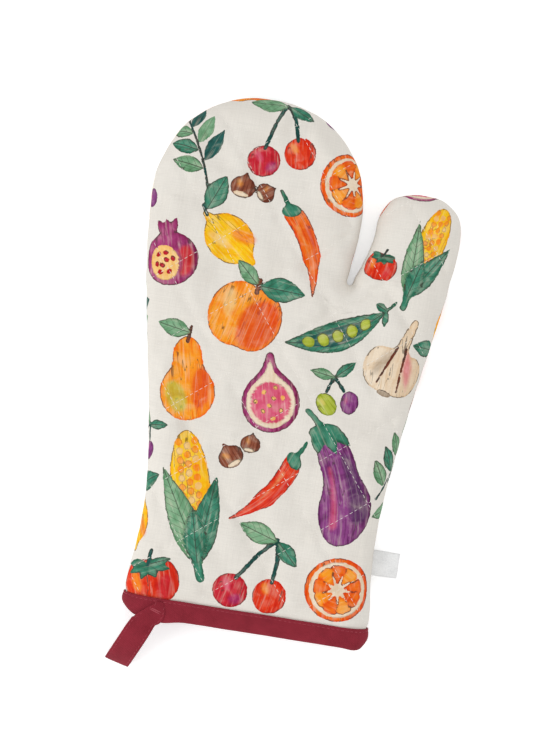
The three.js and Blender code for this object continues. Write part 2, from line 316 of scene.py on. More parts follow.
PUFFING_SCALE = 100  # mm to a unit while the sheet is puffed
CLOTH_SETTINGS = {
    "quality": 5,
    "mass": 0.3,
    "tension_stiffness": 15,
    "compression_stiffness": 15,
    "shear_stiffness": 5,
    "bending_stiffness": 0.3,
    "air_damping": 5,
    "vertex_group_mass": "sewn",
    "pin_stiffness": 1,
}


def puffed(mesh, held, growth, pressure, cap, frames=18):
    """Runs cloth simulation on a sheet held at some of its points: the sheet is a little larger than
    the shape it starts from, so it puckers between them, and the wadding pushes it out. No point
    moves further than the cap."""
    work = bpy.data.objects.new("puffing", mesh.copy())
    bpy.context.scene.collection.objects.link(work)
    start = points_of(work.data)
    work.data.transform(Matrix.Scale(1 / PUFFING_SCALE, 4))
    pins = work.vertex_groups.new(name="sewn")
    pins.add([int(i) for i in np.flatnonzero(held)], 1.0, "REPLACE")
    cloth = work.modifiers.new("cloth", "CLOTH")
    for key, value in CLOTH_SETTINGS.items():
        setattr(cloth.settings, key, value)
    cloth.settings.shrink_min = -growth
    cloth.settings.use_pressure = True
    cloth.settings.uniform_pressure_force = pressure
    cloth.settings.effector_weights.gravity = 0
    cloth.collision_settings.use_collision = False
    cloth.point_cache.frame_start = 1
    cloth.point_cache.frame_end = frames
    scene = bpy.context.scene
    for frame_number in range(1, frames + 1):
        scene.frame_set(frame_number)
    shaped = work.evaluated_get(bpy.context.evaluated_depsgraph_get())
    moved = points_of(shaped.data) * PUFFING_SCALE - start
    scene.frame_set(1)
    bpy.data.objects.remove(work)
    length = np.linalg.norm(moved, axis=1)
    moved *= (np.minimum(length, cap) / np.maximum(length, 1e-9))[:, None]
    return start + moved


# ---------------------------------------------------------------- shaping and finishing pieces


def cuff_rounding(points):
    """Rounds the cuff's two corners in plan and lets its edge sag a little before the right one, for
    every layer that ends there."""
    x, y = points[:, 0], points[:, 1]
    fade = 1 - np.clip(y / 13, 0, 1)
    left, right = smooth(-x, 62, 79.5) ** 2, smooth(x, 70.5, 79) ** 2
    sag = 0.9 * np.exp(-(((x - 69.5) / 5) ** 2))
    points[:, 1] = y + (6.0 * left + 4.5 * right - sag) * fade
    return points


def skin_to_mesh(skin, name="skin"):
    for face in skin.faces:
        face.smooth = True
    mesh = bpy.data.meshes.new(name)
    skin.to_mesh(mesh)
    skin.free()
    return mesh


def finish(name, mesh, material, body="mitt", replaces=()):
    """Puts a mesh made in millimetres in its place in the part's frame, and hangs it on its body."""
    mesh.transform(PLACE)
    mesh.name = name
    mesh.materials.clear()
    mesh.materials.append(material)
    piece = bpy.data.objects.new(name, mesh)
    bpy.context.scene.collection.objects.link(piece)
    if body:
        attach(piece, body)
    if replaces:
        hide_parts(*replaces)
    return piece


def with_modifier(mesh, kind, **settings):
    """A new mesh with a modifier of this type and these settings applied."""
    work = bpy.data.objects.new("work", mesh)
    bpy.context.scene.collection.objects.link(work)
    modifier = work.modifiers.new(kind, kind)
    for key, value in settings.items():
        setattr(modifier, key, value)
    made = bpy.data.meshes.new_from_object(
        work.evaluated_get(bpy.context.evaluated_depsgraph_get())
    )
    bpy.data.objects.remove(work)
    return made


def set_points(mesh, points):
    mesh.vertices.foreach_set("co", np.ascontiguousarray(points, dtype=float).ravel())
    mesh.update()


def shade_smooth(mesh):
    mesh.polygons.foreach_set("use_smooth", np.ones(len(mesh.polygons), dtype=bool))


def store(mesh, name, values):
    """Keeps a number or three for each point, for a material or a later step to read."""
    values = np.ascontiguousarray(values, dtype=float)
    kind, field = ("FLOAT", "value") if values.ndim == 1 else ("FLOAT_VECTOR", "vector")
    kept = mesh.attributes.get(name) or mesh.attributes.new(name, kind, "POINT")
    kept.data.foreach_set(field, values.ravel())


def read(mesh, name, width):
    """What was kept by store, as a number or a row of numbers for each point."""
    found = np.empty(len(mesh.vertices) * width)
    mesh.attributes[name].data.foreach_get("value" if width == 1 else "vector", found)
    return found if width == 1 else found.reshape(-1, width)


def wall_profile(inset, wall, depth):
    """Height above the seam plane of a wall's face that lies this deep."""
    run = 1 - np.clip(inset / EDGE_RUN, 0, 1)
    return SEAM_HALF + (wall["rise"] - SEAM_HALF - depth) * np.sqrt(1 - run**2)


def at_depth(flat, wall, depth):
    """Flat points wrapped on a wall's face that lies this deep, with their inset and way inwards."""
    inset, inward = inset_of(flat)
    shaped = flat.copy()
    shaped[:, :2] += inward * (depth * (1 - np.clip(inset / EDGE_RUN, 0, 1)))[:, None]
    shaped[:, 2] = wall_profile(inset, wall, depth)
    return shaped, inset, inward


def taken_up(inset, wall):
    """How much longer than in plan the cloth is, from the flat top down the edge to this inset."""
    turn = np.linspace(0, math.pi / 2, 200)
    rise = wall["rise"] - SEAM_HALF
    pace = np.hypot(EDGE_RUN * np.cos(turn), rise * np.sin(turn))
    along = np.r_[0, np.cumsum((pace[1:] + pace[:-1]) / 2 * np.diff(turn))]
    across = EDGE_RUN * np.sin(turn)
    return np.interp(EDGE_RUN - inset, across, along - across)


def ruffle(points, size, seed):
    """Smooth noise between -1 and 1, one value a point, with features about this many mm across."""
    return np.array([noise.noise(Vector(p) / size + Vector((seed, seed, seed))) for p in points])


FRONT, BACK = (
    {"name": name, "rise": rise, "sign": sign, "lines": tuple(zip(QUILT_ANGLES, through))}
    for name, rise, sign, through in (
        ("front", FRONT_RISE, 1, FRONT_LINES_THROUGH),
        ("back", BACK_RISE, -1, BACK_LINES_THROUGH),
    )
)
# Widths of the rings of mesh faces inside the seam, for the printed cloth and for the pads.
FINE_RINGS = (0.4, 0.7, 1.0, 1.3, 1.6, 1.9, 2.1, 2.2, 2.2, 2.3, 2.3)
COARSE_RINGS = (1.0, 2.0, 3.0, 3.5, 4.0, 4.5)


# ---------------------------------------------------------------- quilted walls

CROTCH = np.array([CROTCH_LEFT + CROTCH_RADIUS, CROTCH_HEIGHT])


def drawn_in(flat):
    """How much deeper the stitches sink around the crotch, where the seam pulls on the cloth."""
    away = np.linalg.norm(flat[:, :2] - CROTCH, axis=1)
    return CROTCH_PULL * np.exp(-((away / CROTCH_PULL_WIDTH) ** 2))


# Creases that fan out from the crotch: direction in degrees, length and depth in mm.
GATHERS = ((-116, 40, 2.2), (-66, 30, 1.4), (-158, 30, 1.1), (-14, 32, 1.5))


def gathers(flat, spread=1.0):
    """Soft creases that fan out from the crotch, where the seam's allowance is clipped and pulls."""
    depth = np.zeros(len(flat))
    away = flat[:, :2] - CROTCH
    for angle, length, deep in GATHERS:
        ray = heading(angle)
        along, beside = away @ ray, away @ np.array([-ray[1], ray[0]])
        fold = np.exp(-((beside / (1.5 + 0.1 * np.maximum(along, 0)) / spread) ** 2))
        depth += deep * fold * smooth(along, 0, 3) * (1 - smooth(along, 4, length))
    return depth


def creases(flat, near, inset):
    """What the filling leaves uneven between the stitches, and the puckers beside them."""
    pucker = PUCKER * np.exp(-((near / PUCKER_REACH) ** 2)) * ruffle(flat, PUCKER_WIDTH, 2.2)
    height = CREASE * ruffle(flat, CREASE_WIDTH, 6.6) + pucker
    return height * smooth(inset, 2, 12) * smooth(flat[:, 1], BINDING, BINDING + 12)


def wall_surface(wall):
    """The outer face of one quilted wall, puffed between its stitches. Its flat shape is kept with
    it, so that the print can be laid out on the cloth as it was cut."""
    sheet = quilted_sheet(QUILT_CELLS, FINE_RINGS, wall["lines"])
    flat = points_of(sheet)
    tucked = read(sheet, "tucked", 1)
    pinch = 1.1 * (1 - smooth(flat[:, 1], BINDING - 0.5, BINDING + 4.5))
    shaped, inset, inward = at_depth(flat, wall, pinch)
    near = np.abs(quilt_distance(flat, wall["lines"])).min(0)
    groove = (GROOVE + drawn_in(flat)) * np.exp(-((near / GROOVE_WIDTH) ** 2))
    sunk = 0.6 * smooth(inset, 1, 12) + groove * smooth(inset, 0, 9)
    shaped[:, 2] -= sunk * smooth(flat[:, 1], BINDING - 2, BINDING + 8)
    held = (near < 0.2) | (inset < 0.3) | (flat[:, 1] < BINDING + 1) | (tucked > 0)
    set_points(sheet, shaped)
    shaped = puffed(sheet, held, growth=0.014, pressure=2.6, cap=2.2)
    # Stitched cotton never lies quite flat: broad waves, creases, and small puckers along the seam.
    shaped[:, 2] += 0.5 * ruffle(flat, 60, 3.1) * smooth(inset, 2, 20) - gathers(flat)
    shaped[:, 2] += 0.14 * ruffle(flat, 7, 8.3) * smooth(inset, 0, 4)
    shaped[:, 2] += creases(flat, near, inset)
    pucker = 0.45 * ruffle(flat, 9, 5.7) * (1 - smooth(inset, 0, 7)) * smooth(flat[:, 1], 14, 20)
    shaped[:, :2] += inward * pucker[:, None]
    # The rim turns in past the seam's plane, so that the two walls close on each other.
    for turn, inwards, height in ((1, 0.45, 0.5), (2, 1.3, -0.15)):
        rim = np.abs(tucked - turn) < 0.1
        shaped[rim, :2] += inward[rim] * inwards
        shaped[rim, 2] = height
    if wall["sign"] < 0:
        # The back rests on the table, which flattens it.
        rest, soft = BACK_RISE - 0.12, 1.2
        over = np.maximum(shaped[:, 2] - rest + soft, 0)
        shaped[:, 2] = np.where(over > 0, rest - soft + soft * np.tanh(over / soft), shaped[:, 2])
    shaped = cuff_rounding(shaped)
    shaped[:, 2] *= wall["sign"]
    flat[:, :2] -= inward * taken_up(inset, wall)[:, None]
    store(sheet, "cut", flat)
    set_points(sheet, shaped)
    if wall["sign"] < 0:
        sheet.flip_normals()
    return sheet


def pad_between(wall, outer, inner):
    """One flat quilted layer of a wall, closed all round. Its outer and inner faces are each given as
    a depth, and how much deeper the face lies at the stitches and under the tape."""
    sheet = quilted_sheet(PAD_CELLS, COARSE_RINGS, wall["lines"], tuck=False)
    flat = points_of(sheet)
    near = np.abs(quilt_distance(flat, wall["lines"])).min(0)
    stitched = np.exp(-((near / 4) ** 2))
    cuff = 1 - smooth(flat[:, 1], BINDING + 0.5, BINDING + 5)
    raised = creases(flat, near, inset_of(flat)[0])
    if wall["sign"] < 0:
        raised = np.minimum(raised, 0)  # the table keeps the back's layers down
    follow = drawn_in(flat) * stitched + gathers(flat, 2.2) - raised
    faces = []
    for depth, at_stitches, at_cuff in (outer, inner):
        deep = depth + at_stitches * stitched * (1 - cuff) + at_cuff * cuff + follow
        shaped, inset, inward = at_depth(flat, wall, deep)
        shaped[:, 2] = np.maximum(shaped[:, 2], 0.35) * wall["sign"]
        faces.append(cuff_rounding(shaped))
    form = bmesh.new()
    form.from_mesh(sheet)
    place = form.verts.layers.int.new("place")
    for i, vert in enumerate(form.verts):
        vert[place] = i
    made = bmesh.ops.extrude_face_region(form, geom=form.faces[:], use_keep_orig=True)["geom"]
    inside = {v for v in made if isinstance(v, bmesh.types.BMVert)}
    for vert in form.verts:
        vert.co = faces[1 if vert in inside else 0][vert[place]]
    bmesh.ops.recalc_face_normals(form, faces=form.faces[:])
    return skin_to_mesh(form)


def allowance_lift(flat, inset):
    """The allowance waves a little, and near the tape it lies down on the back lining."""
    down = 2.3 * (1 - smooth(flat[:, 1], BINDING, BINDING + 20))
    return (1.1 * ruffle(flat, 16, 9.2) - down) * smooth(inset, ALLOWANCE_ROOT, ALLOWANCE_ROOT + 6)


def seam_allowance():
    """Both walls' raw edges, trimmed to an even width and turned to the inside of the mitt."""
    strip = bmesh.new()
    # The first inset of a face that stands alone only splits its edge.
    middle = outline_face(strip, (0.1, ALLOWANCE_ROOT, *[(ALLOWANCE - ALLOWANCE_ROOT) / 4] * 4))
    centres = np.array([f.calc_center_median() for f in strip.faces])
    inset, _ = inset_of(centres)
    beyond = [f for f, deep in zip(strip.faces, inset) if f is middle or deep < ALLOWANCE_ROOT]
    bmesh.ops.delete(strip, geom=beyond, context="FACES")
    cut_below(strip, BINDING - 1.5, 0.01)
    flat = np.array([v.co for v in strip.verts])
    inset, _ = inset_of(flat)
    for vert, lift in zip(strip.verts, allowance_lift(flat, inset)):
        vert.co.z += lift
    return skin_to_mesh(strip)


def overlocking():
    """Overlock thread looped back and forth over the allowance's raw edge."""
    along = lengths_along(OUTLINE)
    middle = ALLOWANCE - 1.6
    found = []
    for n, s in enumerate(np.arange(2.0, along[-1] - 2, OVERLOCK_PITCH)):
        at, ahead = (point_along(OUTLINE, along, t) for t in (s, s + 0.8))
        ahead = (ahead - at) / np.linalg.norm(ahead - at)
        inward = np.array([ahead[1], -ahead[0]])
        flat = np.array([[*(at + inward * middle), 0.0]])
        depth, _ = inset_of(flat)
        if flat[0, 1] < BINDING or abs(depth[0] - middle) > 0.5:
            continue
        flat[0, 2] = allowance_lift(flat, depth)[0]
        way = inward + ahead * (0.45 if n % 2 else -0.45)
        for face in (1, -1):
            found.append((flat[0] + (0, 0, 0.5 * face), (*way, 0.0), (0.0, 0.0, face)))
    return found


# ---------------------------------------------------------------- swept pieces


def carried(rings, joined=False):
    """A loop of points carried through a list of loops, as one closed skin."""
    skin = bmesh.new()
    loop = [skin.verts.new(p) for p in rings[0]]
    edges = [skin.edges.new((a, b)) for a, b in zip(loop, loop[1:] + loop[:1])]
    first = edges
    for ring in rings[1:]:
        made = bmesh.ops.extrude_edge_only(skin, edges=edges)["geom"]
        fresh = {v for v in made if isinstance(v, bmesh.types.BMVert)}
        loop = [
            next(e.other_vert(v) for e in v.link_edges if e.other_vert(v) in fresh) for v in loop
        ]
        for vert, point in zip(loop, ring):
            vert.co = point
        edges = [skin.edges.get((a, b)) for a, b in zip(loop, loop[1:] + loop[:1])]
    if joined:
        bmesh.ops.bridge_loops(skin, edges=first + edges)
    else:
        bmesh.ops.contextual_create(skin, geom=first)
        bmesh.ops.contextual_create(skin, geom=edges)
    bmesh.ops.recalc_face_normals(skin, faces=skin.faces[:])
    return skin


def mouth_ring(depth, height, steps=14, straight=70):
    """The cuff's outline round the mouth at one depth, as points with their heights up the cuff."""
    flat = CUFF_HALF - EDGE_RUN
    found = []
    for wall, hand in ((FRONT, 1), (BACK, -1)):
        quarter = [i / steps * math.pi / 2 for i in range(steps + 1)]
        rise = wall["rise"] - SEAM_HALF - depth
        arc = [
            (flat + (EDGE_RUN - depth) * math.sin(a), SEAM_HALF + rise * math.cos(a)) for a in quarter
        ]
        across = [(x, SEAM_HALF + rise) for x in np.linspace(-flat, flat, straight)[1:-1]]
        half = [(-x, z) for x, z in reversed(arc)] + across + arc
        found += [(hand * x, height, wall["sign"] * z) for x, z in half]
    return np.array(found)


# The tape's section round the cuff's raw edge: how deep and how high each point lies.
TAPE_SECTION = (
    (1.0, 12.2), (0.75, 12.75), (0.1, 12.85), (-0.3, 12.3), (-0.25, 11.5), (-0.1, 11.0),
    (-0.3, 10.4), (-0.65, 8.8), (-0.8, 6.6), (-0.75, 4.4), (-0.4, 2.4), (0.35, 0.9), (1.4, 0.1),
    (2.7, -0.2), (4.0, 0.1), (5.1, 0.9), (5.75, 2.4), (5.95, 4.4), (5.9, 7.2), (5.6, 9.8),
    (5.35, 11.0), (5.5, 11.8), (5.2, 12.4), (4.7, 12.3), (4.7, 9.0), (4.7, 3.4), (4.2, 2.2),
    (2.8, 1.6), (1.6, 2.2), (1.0, 3.4), (1.0, 8.0),
)  # fmt: skip


def tape_ring(depth, height):
    """The tape's line round the mouth at one depth and height, a little uneven as sewn tape is."""
    ring = mouth_ring(depth, height)
    swell = ruffle(ring * (1, 0, 1), 26, 2.2) * 0.5 + ruffle(ring * (1, 0, 1), 9, 6.4) * 0.25
    outward = np.c_[ring[:, 0] * 0.02, ring[:, 0] * 0, np.sign(ring[:, 2])]
    puff = 0.5 if 1.5 < height < 12 and depth < 1 else 0.15
    ring += outward * (swell * puff)[:, None]
    ring[:, 1] += swell * 0.5
    # The loop's weight draws the tape down beside its root.
    drawn = np.exp(-(((ring[:, 0] + 50) / 8.5) ** 2)) * smooth(ring[:, 2], -2, 9)
    ring[:, 1] -= 2.0 * drawn * (1 - smooth(ring[:, 1], 3, 11))
    # The table flattens its underside.
    flatter, soft = 0.8 - BACK_RISE, 0.75
    under = ring[:, 2] < flatter
    ring[under, 2] = flatter - soft * np.tanh((flatter - ring[under, 2]) / soft)
    return cuff_rounding(ring)


def tape_round_mouth():
    return carried([tape_ring(depth, height) for depth, height in TAPE_SECTION], joined=True)


def tape_stitches():
    """The line of stitches that holds the tape, just below its upper edge, all round."""
    line = tape_ring(-0.12, 11.0)
    line = np.r_[line, line[:1]]
    along = lengths_along(line)
    found = []
    for s in np.arange(TAPE_STITCH_PITCH / 2, along[-1], TAPE_STITCH_PITCH):
        at, ahead = (point_along(line, along, t) for t in (s, s + 1))
        out = np.cross(ahead - at, (0, 1, 0))
        found.append((at, ahead - at, out * np.sign(out[2] * at[2] + out[0] * at[0] * 0.1)))
    return found


# ---------------------------------------------------------------- hanging loop

LOOP_LEAN = 24  # degrees that the loop leans away from the mitt's length
LOOP_ROOT = (-61.5, -1.9, 12.15)
LOOP_THICKNESS = 1.5
LOOP_DENT = (-58.2, -5.6)  # the strap dimples here, where it turns off the tape
STRAP_HALF = 8.0
STRAP_GROOVE = 0.79  # share of the half width at which the edge stitches run
# Edges of the tape where it turns off the binding, left then right, from its first fold to the root.
LOOP_TURN = (
    ((-53.6, 11.5, 15.5), (-51.0, 10.6, 15.2)),
    ((-56.0, 9.9, 16.2), (-49.6, 7.4, 15.4)),
    ((-59.2, 7.5, 16.7), (-49.0, 4.0, 15.6)),
    ((-62.7, 4.6, 16.9), (-49.6, 0.4, 15.7)),
    ((-66.1, 1.8, 16.8), (-51.4, -2.6, 15.6)),
)
# Middle of the strap from the root out to the end fold and back under it: height along, then up.
LOOP_SIDE = (
    (-3.6, 16.2), (-6.8, 16.0), (-10.4, 15.4), (-14.4, 14.0), (-18.6, 11.8), (-22.8, 8.5),
    (-26.6, 4.9), (-29.6, 1.1), (-31.8, -2.6), (-33.1, -5.1), (-33.5, -6.2), (-32.9, -6.8),
    (-31.8, -6.5), (-29.6, -4.3), (-26.0, -0.5), (-21.0, 3.8), (-15.6, 7.0), (-10.3, 9.6),
    (-6.0, 11.2), (-2.6, 12.3), (-0.9, 12.6),
)  # fmt: skip


def strap_lines():
    """Lines across the strap, from its left to its right edge, all along its path."""
    lines = [tuple(Vector(p) for p in pair) for pair in LOOP_TURN]
    for y, z in LOOP_SIDE:
        middle = Vector((LOOP_ROOT[0] + 0.3 + math.tan(math.radians(LOOP_LEAN)) * (y + 2.0), y, z))
        square = math.radians(-LOOP_LEAN * 0.62) * smooth(-y, -2, 12)
        across = Vector((math.cos(square), math.sin(square), 0)) * STRAP_HALF
        lines.append((middle - across, middle + across))
    return lines


def even_lines(lines, spacing):
    """The same lines across, evenly spaced along a smooth path through them."""
    both = np.array([[*a, *b] for a, b in lines])
    along = lengths_along((both[:, :3] + both[:, 3:]) / 2)
    slope = np.gradient(both, along, axis=0)
    found = []
    for s in np.linspace(0, along[-1], round(along[-1] / spacing) + 1):
        i = min(np.searchsorted(along, s, side="right") - 1, len(along) - 2)
        h = along[i + 1] - along[i]
        t = (s - along[i]) / h
        found.append(
            both[i] * (1 + 2 * t) * (1 - t) ** 2
            + slope[i] * h * t * (1 - t) ** 2
            + both[i + 1] * t**2 * (3 - 2 * t)
            + slope[i + 1] * h * t**2 * (t - 1)
        )
    return np.array(found)


STRAP = even_lines(strap_lines(), 1.0)


def strap_frame():
    """Along the strap: its middle, half the line across it, and the way its upper side faces."""
    middle = (STRAP[:, :3] + STRAP[:, 3:]) / 2
    half = (STRAP[:, 3:] - STRAP[:, :3]) / 2
    ahead = np.gradient(middle, axis=0)
    up = np.cross(half, ahead)
    up /= -np.linalg.norm(up, axis=1)[:, None]
    return middle, half, up * np.sign(up[6, 2])


# The strap's section: share of the half width, and share of the half thickness. The edge stitches
# draw it in near both edges.
STRAP_SECTION = (
    (-1.0, 0.0), (-0.985, 0.6), (-0.93, 0.95), (-0.84, 0.85), (-STRAP_GROOVE, 0.72), (-0.74, 0.9),
    (-0.6, 1.0), (-0.3, 1.0), (0.0, 1.0), (0.3, 1.0), (0.6, 1.0), (0.74, 0.9), (STRAP_GROOVE, 0.72),
    (0.84, 0.85), (0.93, 0.95), (0.985, 0.6),
)  # fmt: skip


def strap_skin():
    middle, half, up = strap_frame()
    section = STRAP_SECTION + tuple((-across, -thick) for across, thick in STRAP_SECTION)
    rings = []
    for i, (centre, across, way) in enumerate(zip(middle, half, up)):
        thick = LOOP_THICKNESS / 2 * (0.55 + 0.45 * smooth(i, 0, 6))
        ring = np.array([centre + across * a + way * (thick * t) for a, t in section])
        dent = 1.7 * np.exp(-((np.linalg.norm(ring[:, :2] - LOOP_DENT, axis=1) / 2.8) ** 2))
        rings.append(ring + way * (0.18 * ruffle(ring, 8, 4.4) - dent)[:, None])
    return carried(rings)


def strap_stitches():
    """Stitches near both edges of the strap, on its upper leg and its lower one."""
    middle, half, up = strap_frame()
    found = []
    for edge in (-STRAP_GROOVE, STRAP_GROOVE):
        for i in range(3, len(middle) - 3, 3):
            if up[i - 2] @ up[i + 2] < 0.95:
                continue
            at = middle[i] + half[i] * edge + up[i] * (LOOP_THICKNESS * 0.37)
            found.append((at, middle[i + 1] - middle[i - 1], up[i]))
    return found


def tack_stitches():
    """A bar tack across the strap's root: a few dense stitches over one another."""
    middle, half, up = strap_frame()
    found = []
    for row, i in enumerate((6, 7)):
        for across in np.linspace(-0.5, 0.35, 8):
            at = middle[i] + half[i] * across + up[i] * (LOOP_THICKNESS * 0.5)
            found.append((at, half[i] + (0, 1.5 - 3 * row, 0), up[i]))
    return found


# ---------------------------------------------------------------- label

LABEL_LOW, LABEL_HIGH = 46.0, 62.0
LABEL_MIDDLE = (LABEL_LOW + LABEL_HIGH) / 2
LABEL_STEPS = 16  # mesh faces across it
LABEL_ROOT = 75.08  # where it leaves the seam
# The label's path from its upper end in the seam, round its fold and back: across, then up.
LABEL_PATH = (
    (72.4, 0.25), (73.6, 0.3), (74.8, 0.35), (76.0, 0.45), (78.0, 0.75), (80.5, 1.1), (83.0, 1.25),
    (85.5, 1.2), (87.6, 1.0), (89.0, 0.75), (89.7, 0.4), (89.8, 0.0), (89.4, -0.3), (88.4, -0.15),
    (86.5, 0.2), (84.0, 0.4), (81.0, 0.3), (78.5, 0.05), (76.4, -0.2), (74.8, -0.35), (73.6, -0.3),
    (72.4, -0.25),
)  # fmt: skip


def label_skin():
    """A strip of woven tape folded in two, its ends in the seam and its fold outermost."""
    skin = bmesh.new()
    line = [
        skin.verts.new((LABEL_PATH[0][0], y, LABEL_PATH[0][1]))
        for y in np.linspace(LABEL_LOW, LABEL_HIGH, LABEL_STEPS + 1)
    ]
    edges = [skin.edges.new(pair) for pair in zip(line, line[1:])]
    for x, z in LABEL_PATH[1:]:
        made = bmesh.ops.extrude_edge_only(skin, edges=edges)["geom"]
        edges = [e for e in made if isinstance(e, bmesh.types.BMEdge)]
        edges = [e for e in edges if all(v in made for v in e.verts)]
        for vert in {v for e in edges for v in e.verts}:
            up = (vert.co.y - LABEL_LOW) / (LABEL_HIGH - LABEL_LOW)
            lift = 0.5 * smooth(x, 78, 90) * math.sin(up * 2.6)
            vert.co.x, vert.co.z = x, z + lift
    for vert in skin.verts:
        out = smooth(vert.co.x, 76, 90)
        vert.co.y = LABEL_MIDDLE + (vert.co.y - LABEL_MIDDLE) * (1 - 0.02 * out)
        vert.co.x += 0.25 * noise.noise(Vector((vert.co.y / 2.2, 3.3, 1.7))) * out
    bmesh.ops.recalc_face_normals(skin, faces=skin.faces[:])
    return skin


# ---------------------------------------------------------------- threads


def stitches(places, length, thick):
    """Short visible stitches: each place is a middle point, the way it runs and the way it faces."""
    whole = bmesh.new()
    for first in range(0, len(places), 30):
        few = bmesh.new()
        for middle, along, facing in places[first : first + 30]:
            along, facing = Vector(along).normalized(), Vector(facing).normalized()
            beside = facing.cross(along).normalized()
            turn = Matrix((beside, along.cross(beside), along)).transposed().to_4x4()
            turn.translation = middle
            shape = Matrix.Diagonal((thick, -thick * 0.8, length / 2, 1))
            bmesh.ops.create_uvsphere(
                few, u_segments=6, v_segments=4, radius=1, matrix=turn @ shape
            )
        bmesh.ops.recalc_face_normals(few, faces=few.faces[:])
        whole.from_mesh(skin_to_mesh(few, "few_stitches"))
    return skin_to_mesh(whole)


def stitch_places(surface, line, pitch, sink, direction):
    """Stitches along a line of plan points, laid on a surface where a ray from outside meets it."""
    tree = BVHTree.FromObject(surface, bpy.context.evaluated_depsgraph_get())
    along = lengths_along(line)
    ray = Vector(direction)
    found = []
    for s in np.arange(pitch / 2, along[-1], pitch):
        ends = []
        for t in (s - pitch * 0.3, s, s + pitch * 0.3):
            x, y = point_along(line, along, t)
            hit, normal, *_ = tree.ray_cast(Vector((x, y, 0)) - ray * 60, ray)
            if hit is None:
                break
            ends.append((hit, normal))
        if len(ends) == 3:
            normal = ends[1][1]
            found.append((ends[1][0] - normal * sink, ends[2][0] - ends[0][0], normal))
    return found


# ---------------------------------------------------------------- the print's motifs, in mm
#
# A motif is a list of painted shapes. Each says which layer it is painted in, its colour, how deep
# inside its edge a point lies, and how far a point lies across and along it, for veins and streaks.

FRUIT, FLESH, LEAF = range(3)

SCARLET, ORANGE, AMBER, YELLOW, STRAW, CREAM = (
    "#e23d18", "#ee6f12", "#f79f25", "#f8c814", "#f4ca80", "#ecdac2"
)  # fmt: skip
PINK, PLUM, CRIMSON, BROWN, TAUPE = "#dd6080", "#8e4486", "#cb2638", "#8f4f38", "#b9a894"
FOREST, TEAL, GREEN, SAGE = "#27625b", "#2f8580", "#418a70", "#7dab85"
LIME, INDIGO, MAGENTA = "#b3bf45", "#4a2f58", "#a83c78"


def oval(p, middle, wide, tall, turn=0):
    """Half width, half height and turn in degrees of an oval."""
    q = turned(p - middle, turn)
    near = np.maximum(np.linalg.norm(q / (wide, tall), axis=1), 1e-6)
    slope = np.maximum(np.linalg.norm(q / (wide**2, tall**2), axis=1), 1e-6)
    return near * (1 - near) / slope, q[:, 0], -1 - abs(q[:, 1] + tall)


def finger(p, start, end, thick, thin=None):
    """A round-ended stroke that may taper."""
    start, run = np.array(start, dtype=float), np.subtract(end, start)
    length = np.linalg.norm(run)
    away = p - start
    share = np.clip(away @ run / length**2, 0, 1)
    across = (away[:, 0] * run[1] - away[:, 1] * run[0]) / length
    reach = np.linalg.norm(away - share[:, None] * run, axis=1)
    return thick + ((thin or thick) - thick) * share - reach, across, -1 - share * length


def blade(p, start, end, half, fullest=0.45):
    """A leaf from its stalk to its point, widest part of the way along."""
    start, run = np.array(start, dtype=float), np.subtract(end, start)
    length = np.linalg.norm(run)
    away = p - start
    share = away @ run / length**2
    across = (away[:, 0] * run[1] - away[:, 1] * run[0]) / length
    bent = np.clip(share, 0, 1) ** (math.log(0.5) / math.log(fullest))
    edge = half * np.sin(math.pi * bent)
    beyond = np.maximum(-share, share - 1) * length
    depth = np.where(beyond > 0, -np.hypot(beyond, across), (edge - np.abs(across)) * 0.85)
    return depth, across, share * length


def joined(*shapes, soft=3.0):
    """Several shapes run together with rounded hollows between them."""
    depth, across, along = shapes[0]
    for more, *_ in shapes[1:]:
        h = np.clip(0.5 + (more - depth) / (2 * soft), 0, 1)
        depth = depth * (1 - h) + more * h + soft * h * (1 - h)
    return depth, across, along


WASHED = -1000.0  # stands in a shape's along, and tells that its edge melts


def washed(shape, by=0.0):
    """A shape, perhaps shrunk, whose edge melts into the colour beneath instead of ending crisply."""
    depth, across, along = shape
    return depth - by, across, np.full_like(along, WASHED)


def ribbed(shape):
    """A leaf without veins, streaked along its length instead."""
    depth, across, along = shape
    return depth, across, -1 - np.abs(along)


def bowed(p, bend):
    """Bends what follows, so that a straight shape comes out curved."""
    return np.c_[p[:, 0] + bend * (p[:, 1] / 30) ** 2 * 10, p[:, 1]]


def lemon(p):
    ends = finger(p, (0, 12), (0, 19.5), 3.4, 1.8), finger(p, (0, -12), (0, -18.5), 3.6, 2.4)
    body = joined(oval(p, (0, 0), 13, 16), *ends)
    return [
        (FRUIT, YELLOW, body),
        (FLESH, STRAW, washed(oval(p, (-4.5, 3), 4, 9, 12))),
        (FLESH, ORANGE, washed(oval(p, (6.5, -5), 5, 9, 24))),
        (LEAF, FOREST, finger(p, (0, 18.5), (2.5, 24), 1.1)),
        (LEAF, GREEN, blade(p, (2, 21), (24, 27), 6.5)),
    ]


def orange_slice(p):
    shapes = [(FRUIT, ORANGE, oval(p, (0, 0), 21, 20)), (FLESH, CREAM, oval(p, (0, 0), 18.2, 17.4))]
    for k in range(9):
        ray = heading(k * 40 + 8)
        beside = ray[::-1] * (-2.1, 2.1)
        rind = finger(p, ray * 12.3 + beside, ray * 12.3 - beside, 3.2)
        wedge = joined(rind, finger(p, ray * 4.6, ray * 11, 0.9, 4.1), soft=1.2)
        shapes.append((LEAF, AMBER if k % 2 else ORANGE, wedge))
    return shapes


def pear(p):
    body = joined(oval(p, (0, -10), 17, 17), oval(p, (1.5, 11), 9, 13), soft=7)
    return [
        (FRUIT, AMBER, body),
        (FLESH, LIME, washed(oval(p, (-7, -12), 8, 12, 18), 0.5)),
        (FLESH, SCARLET, washed(oval(p, (8, -8), 8, 15, -8), 1.0)),
        (LEAF, BROWN, finger(p, (2, 21), (5, 30), 1.2, 0.9)),
        (LEAF, SAGE, blade(p, (4, 26), (-16, 34), 5.5)),
    ]


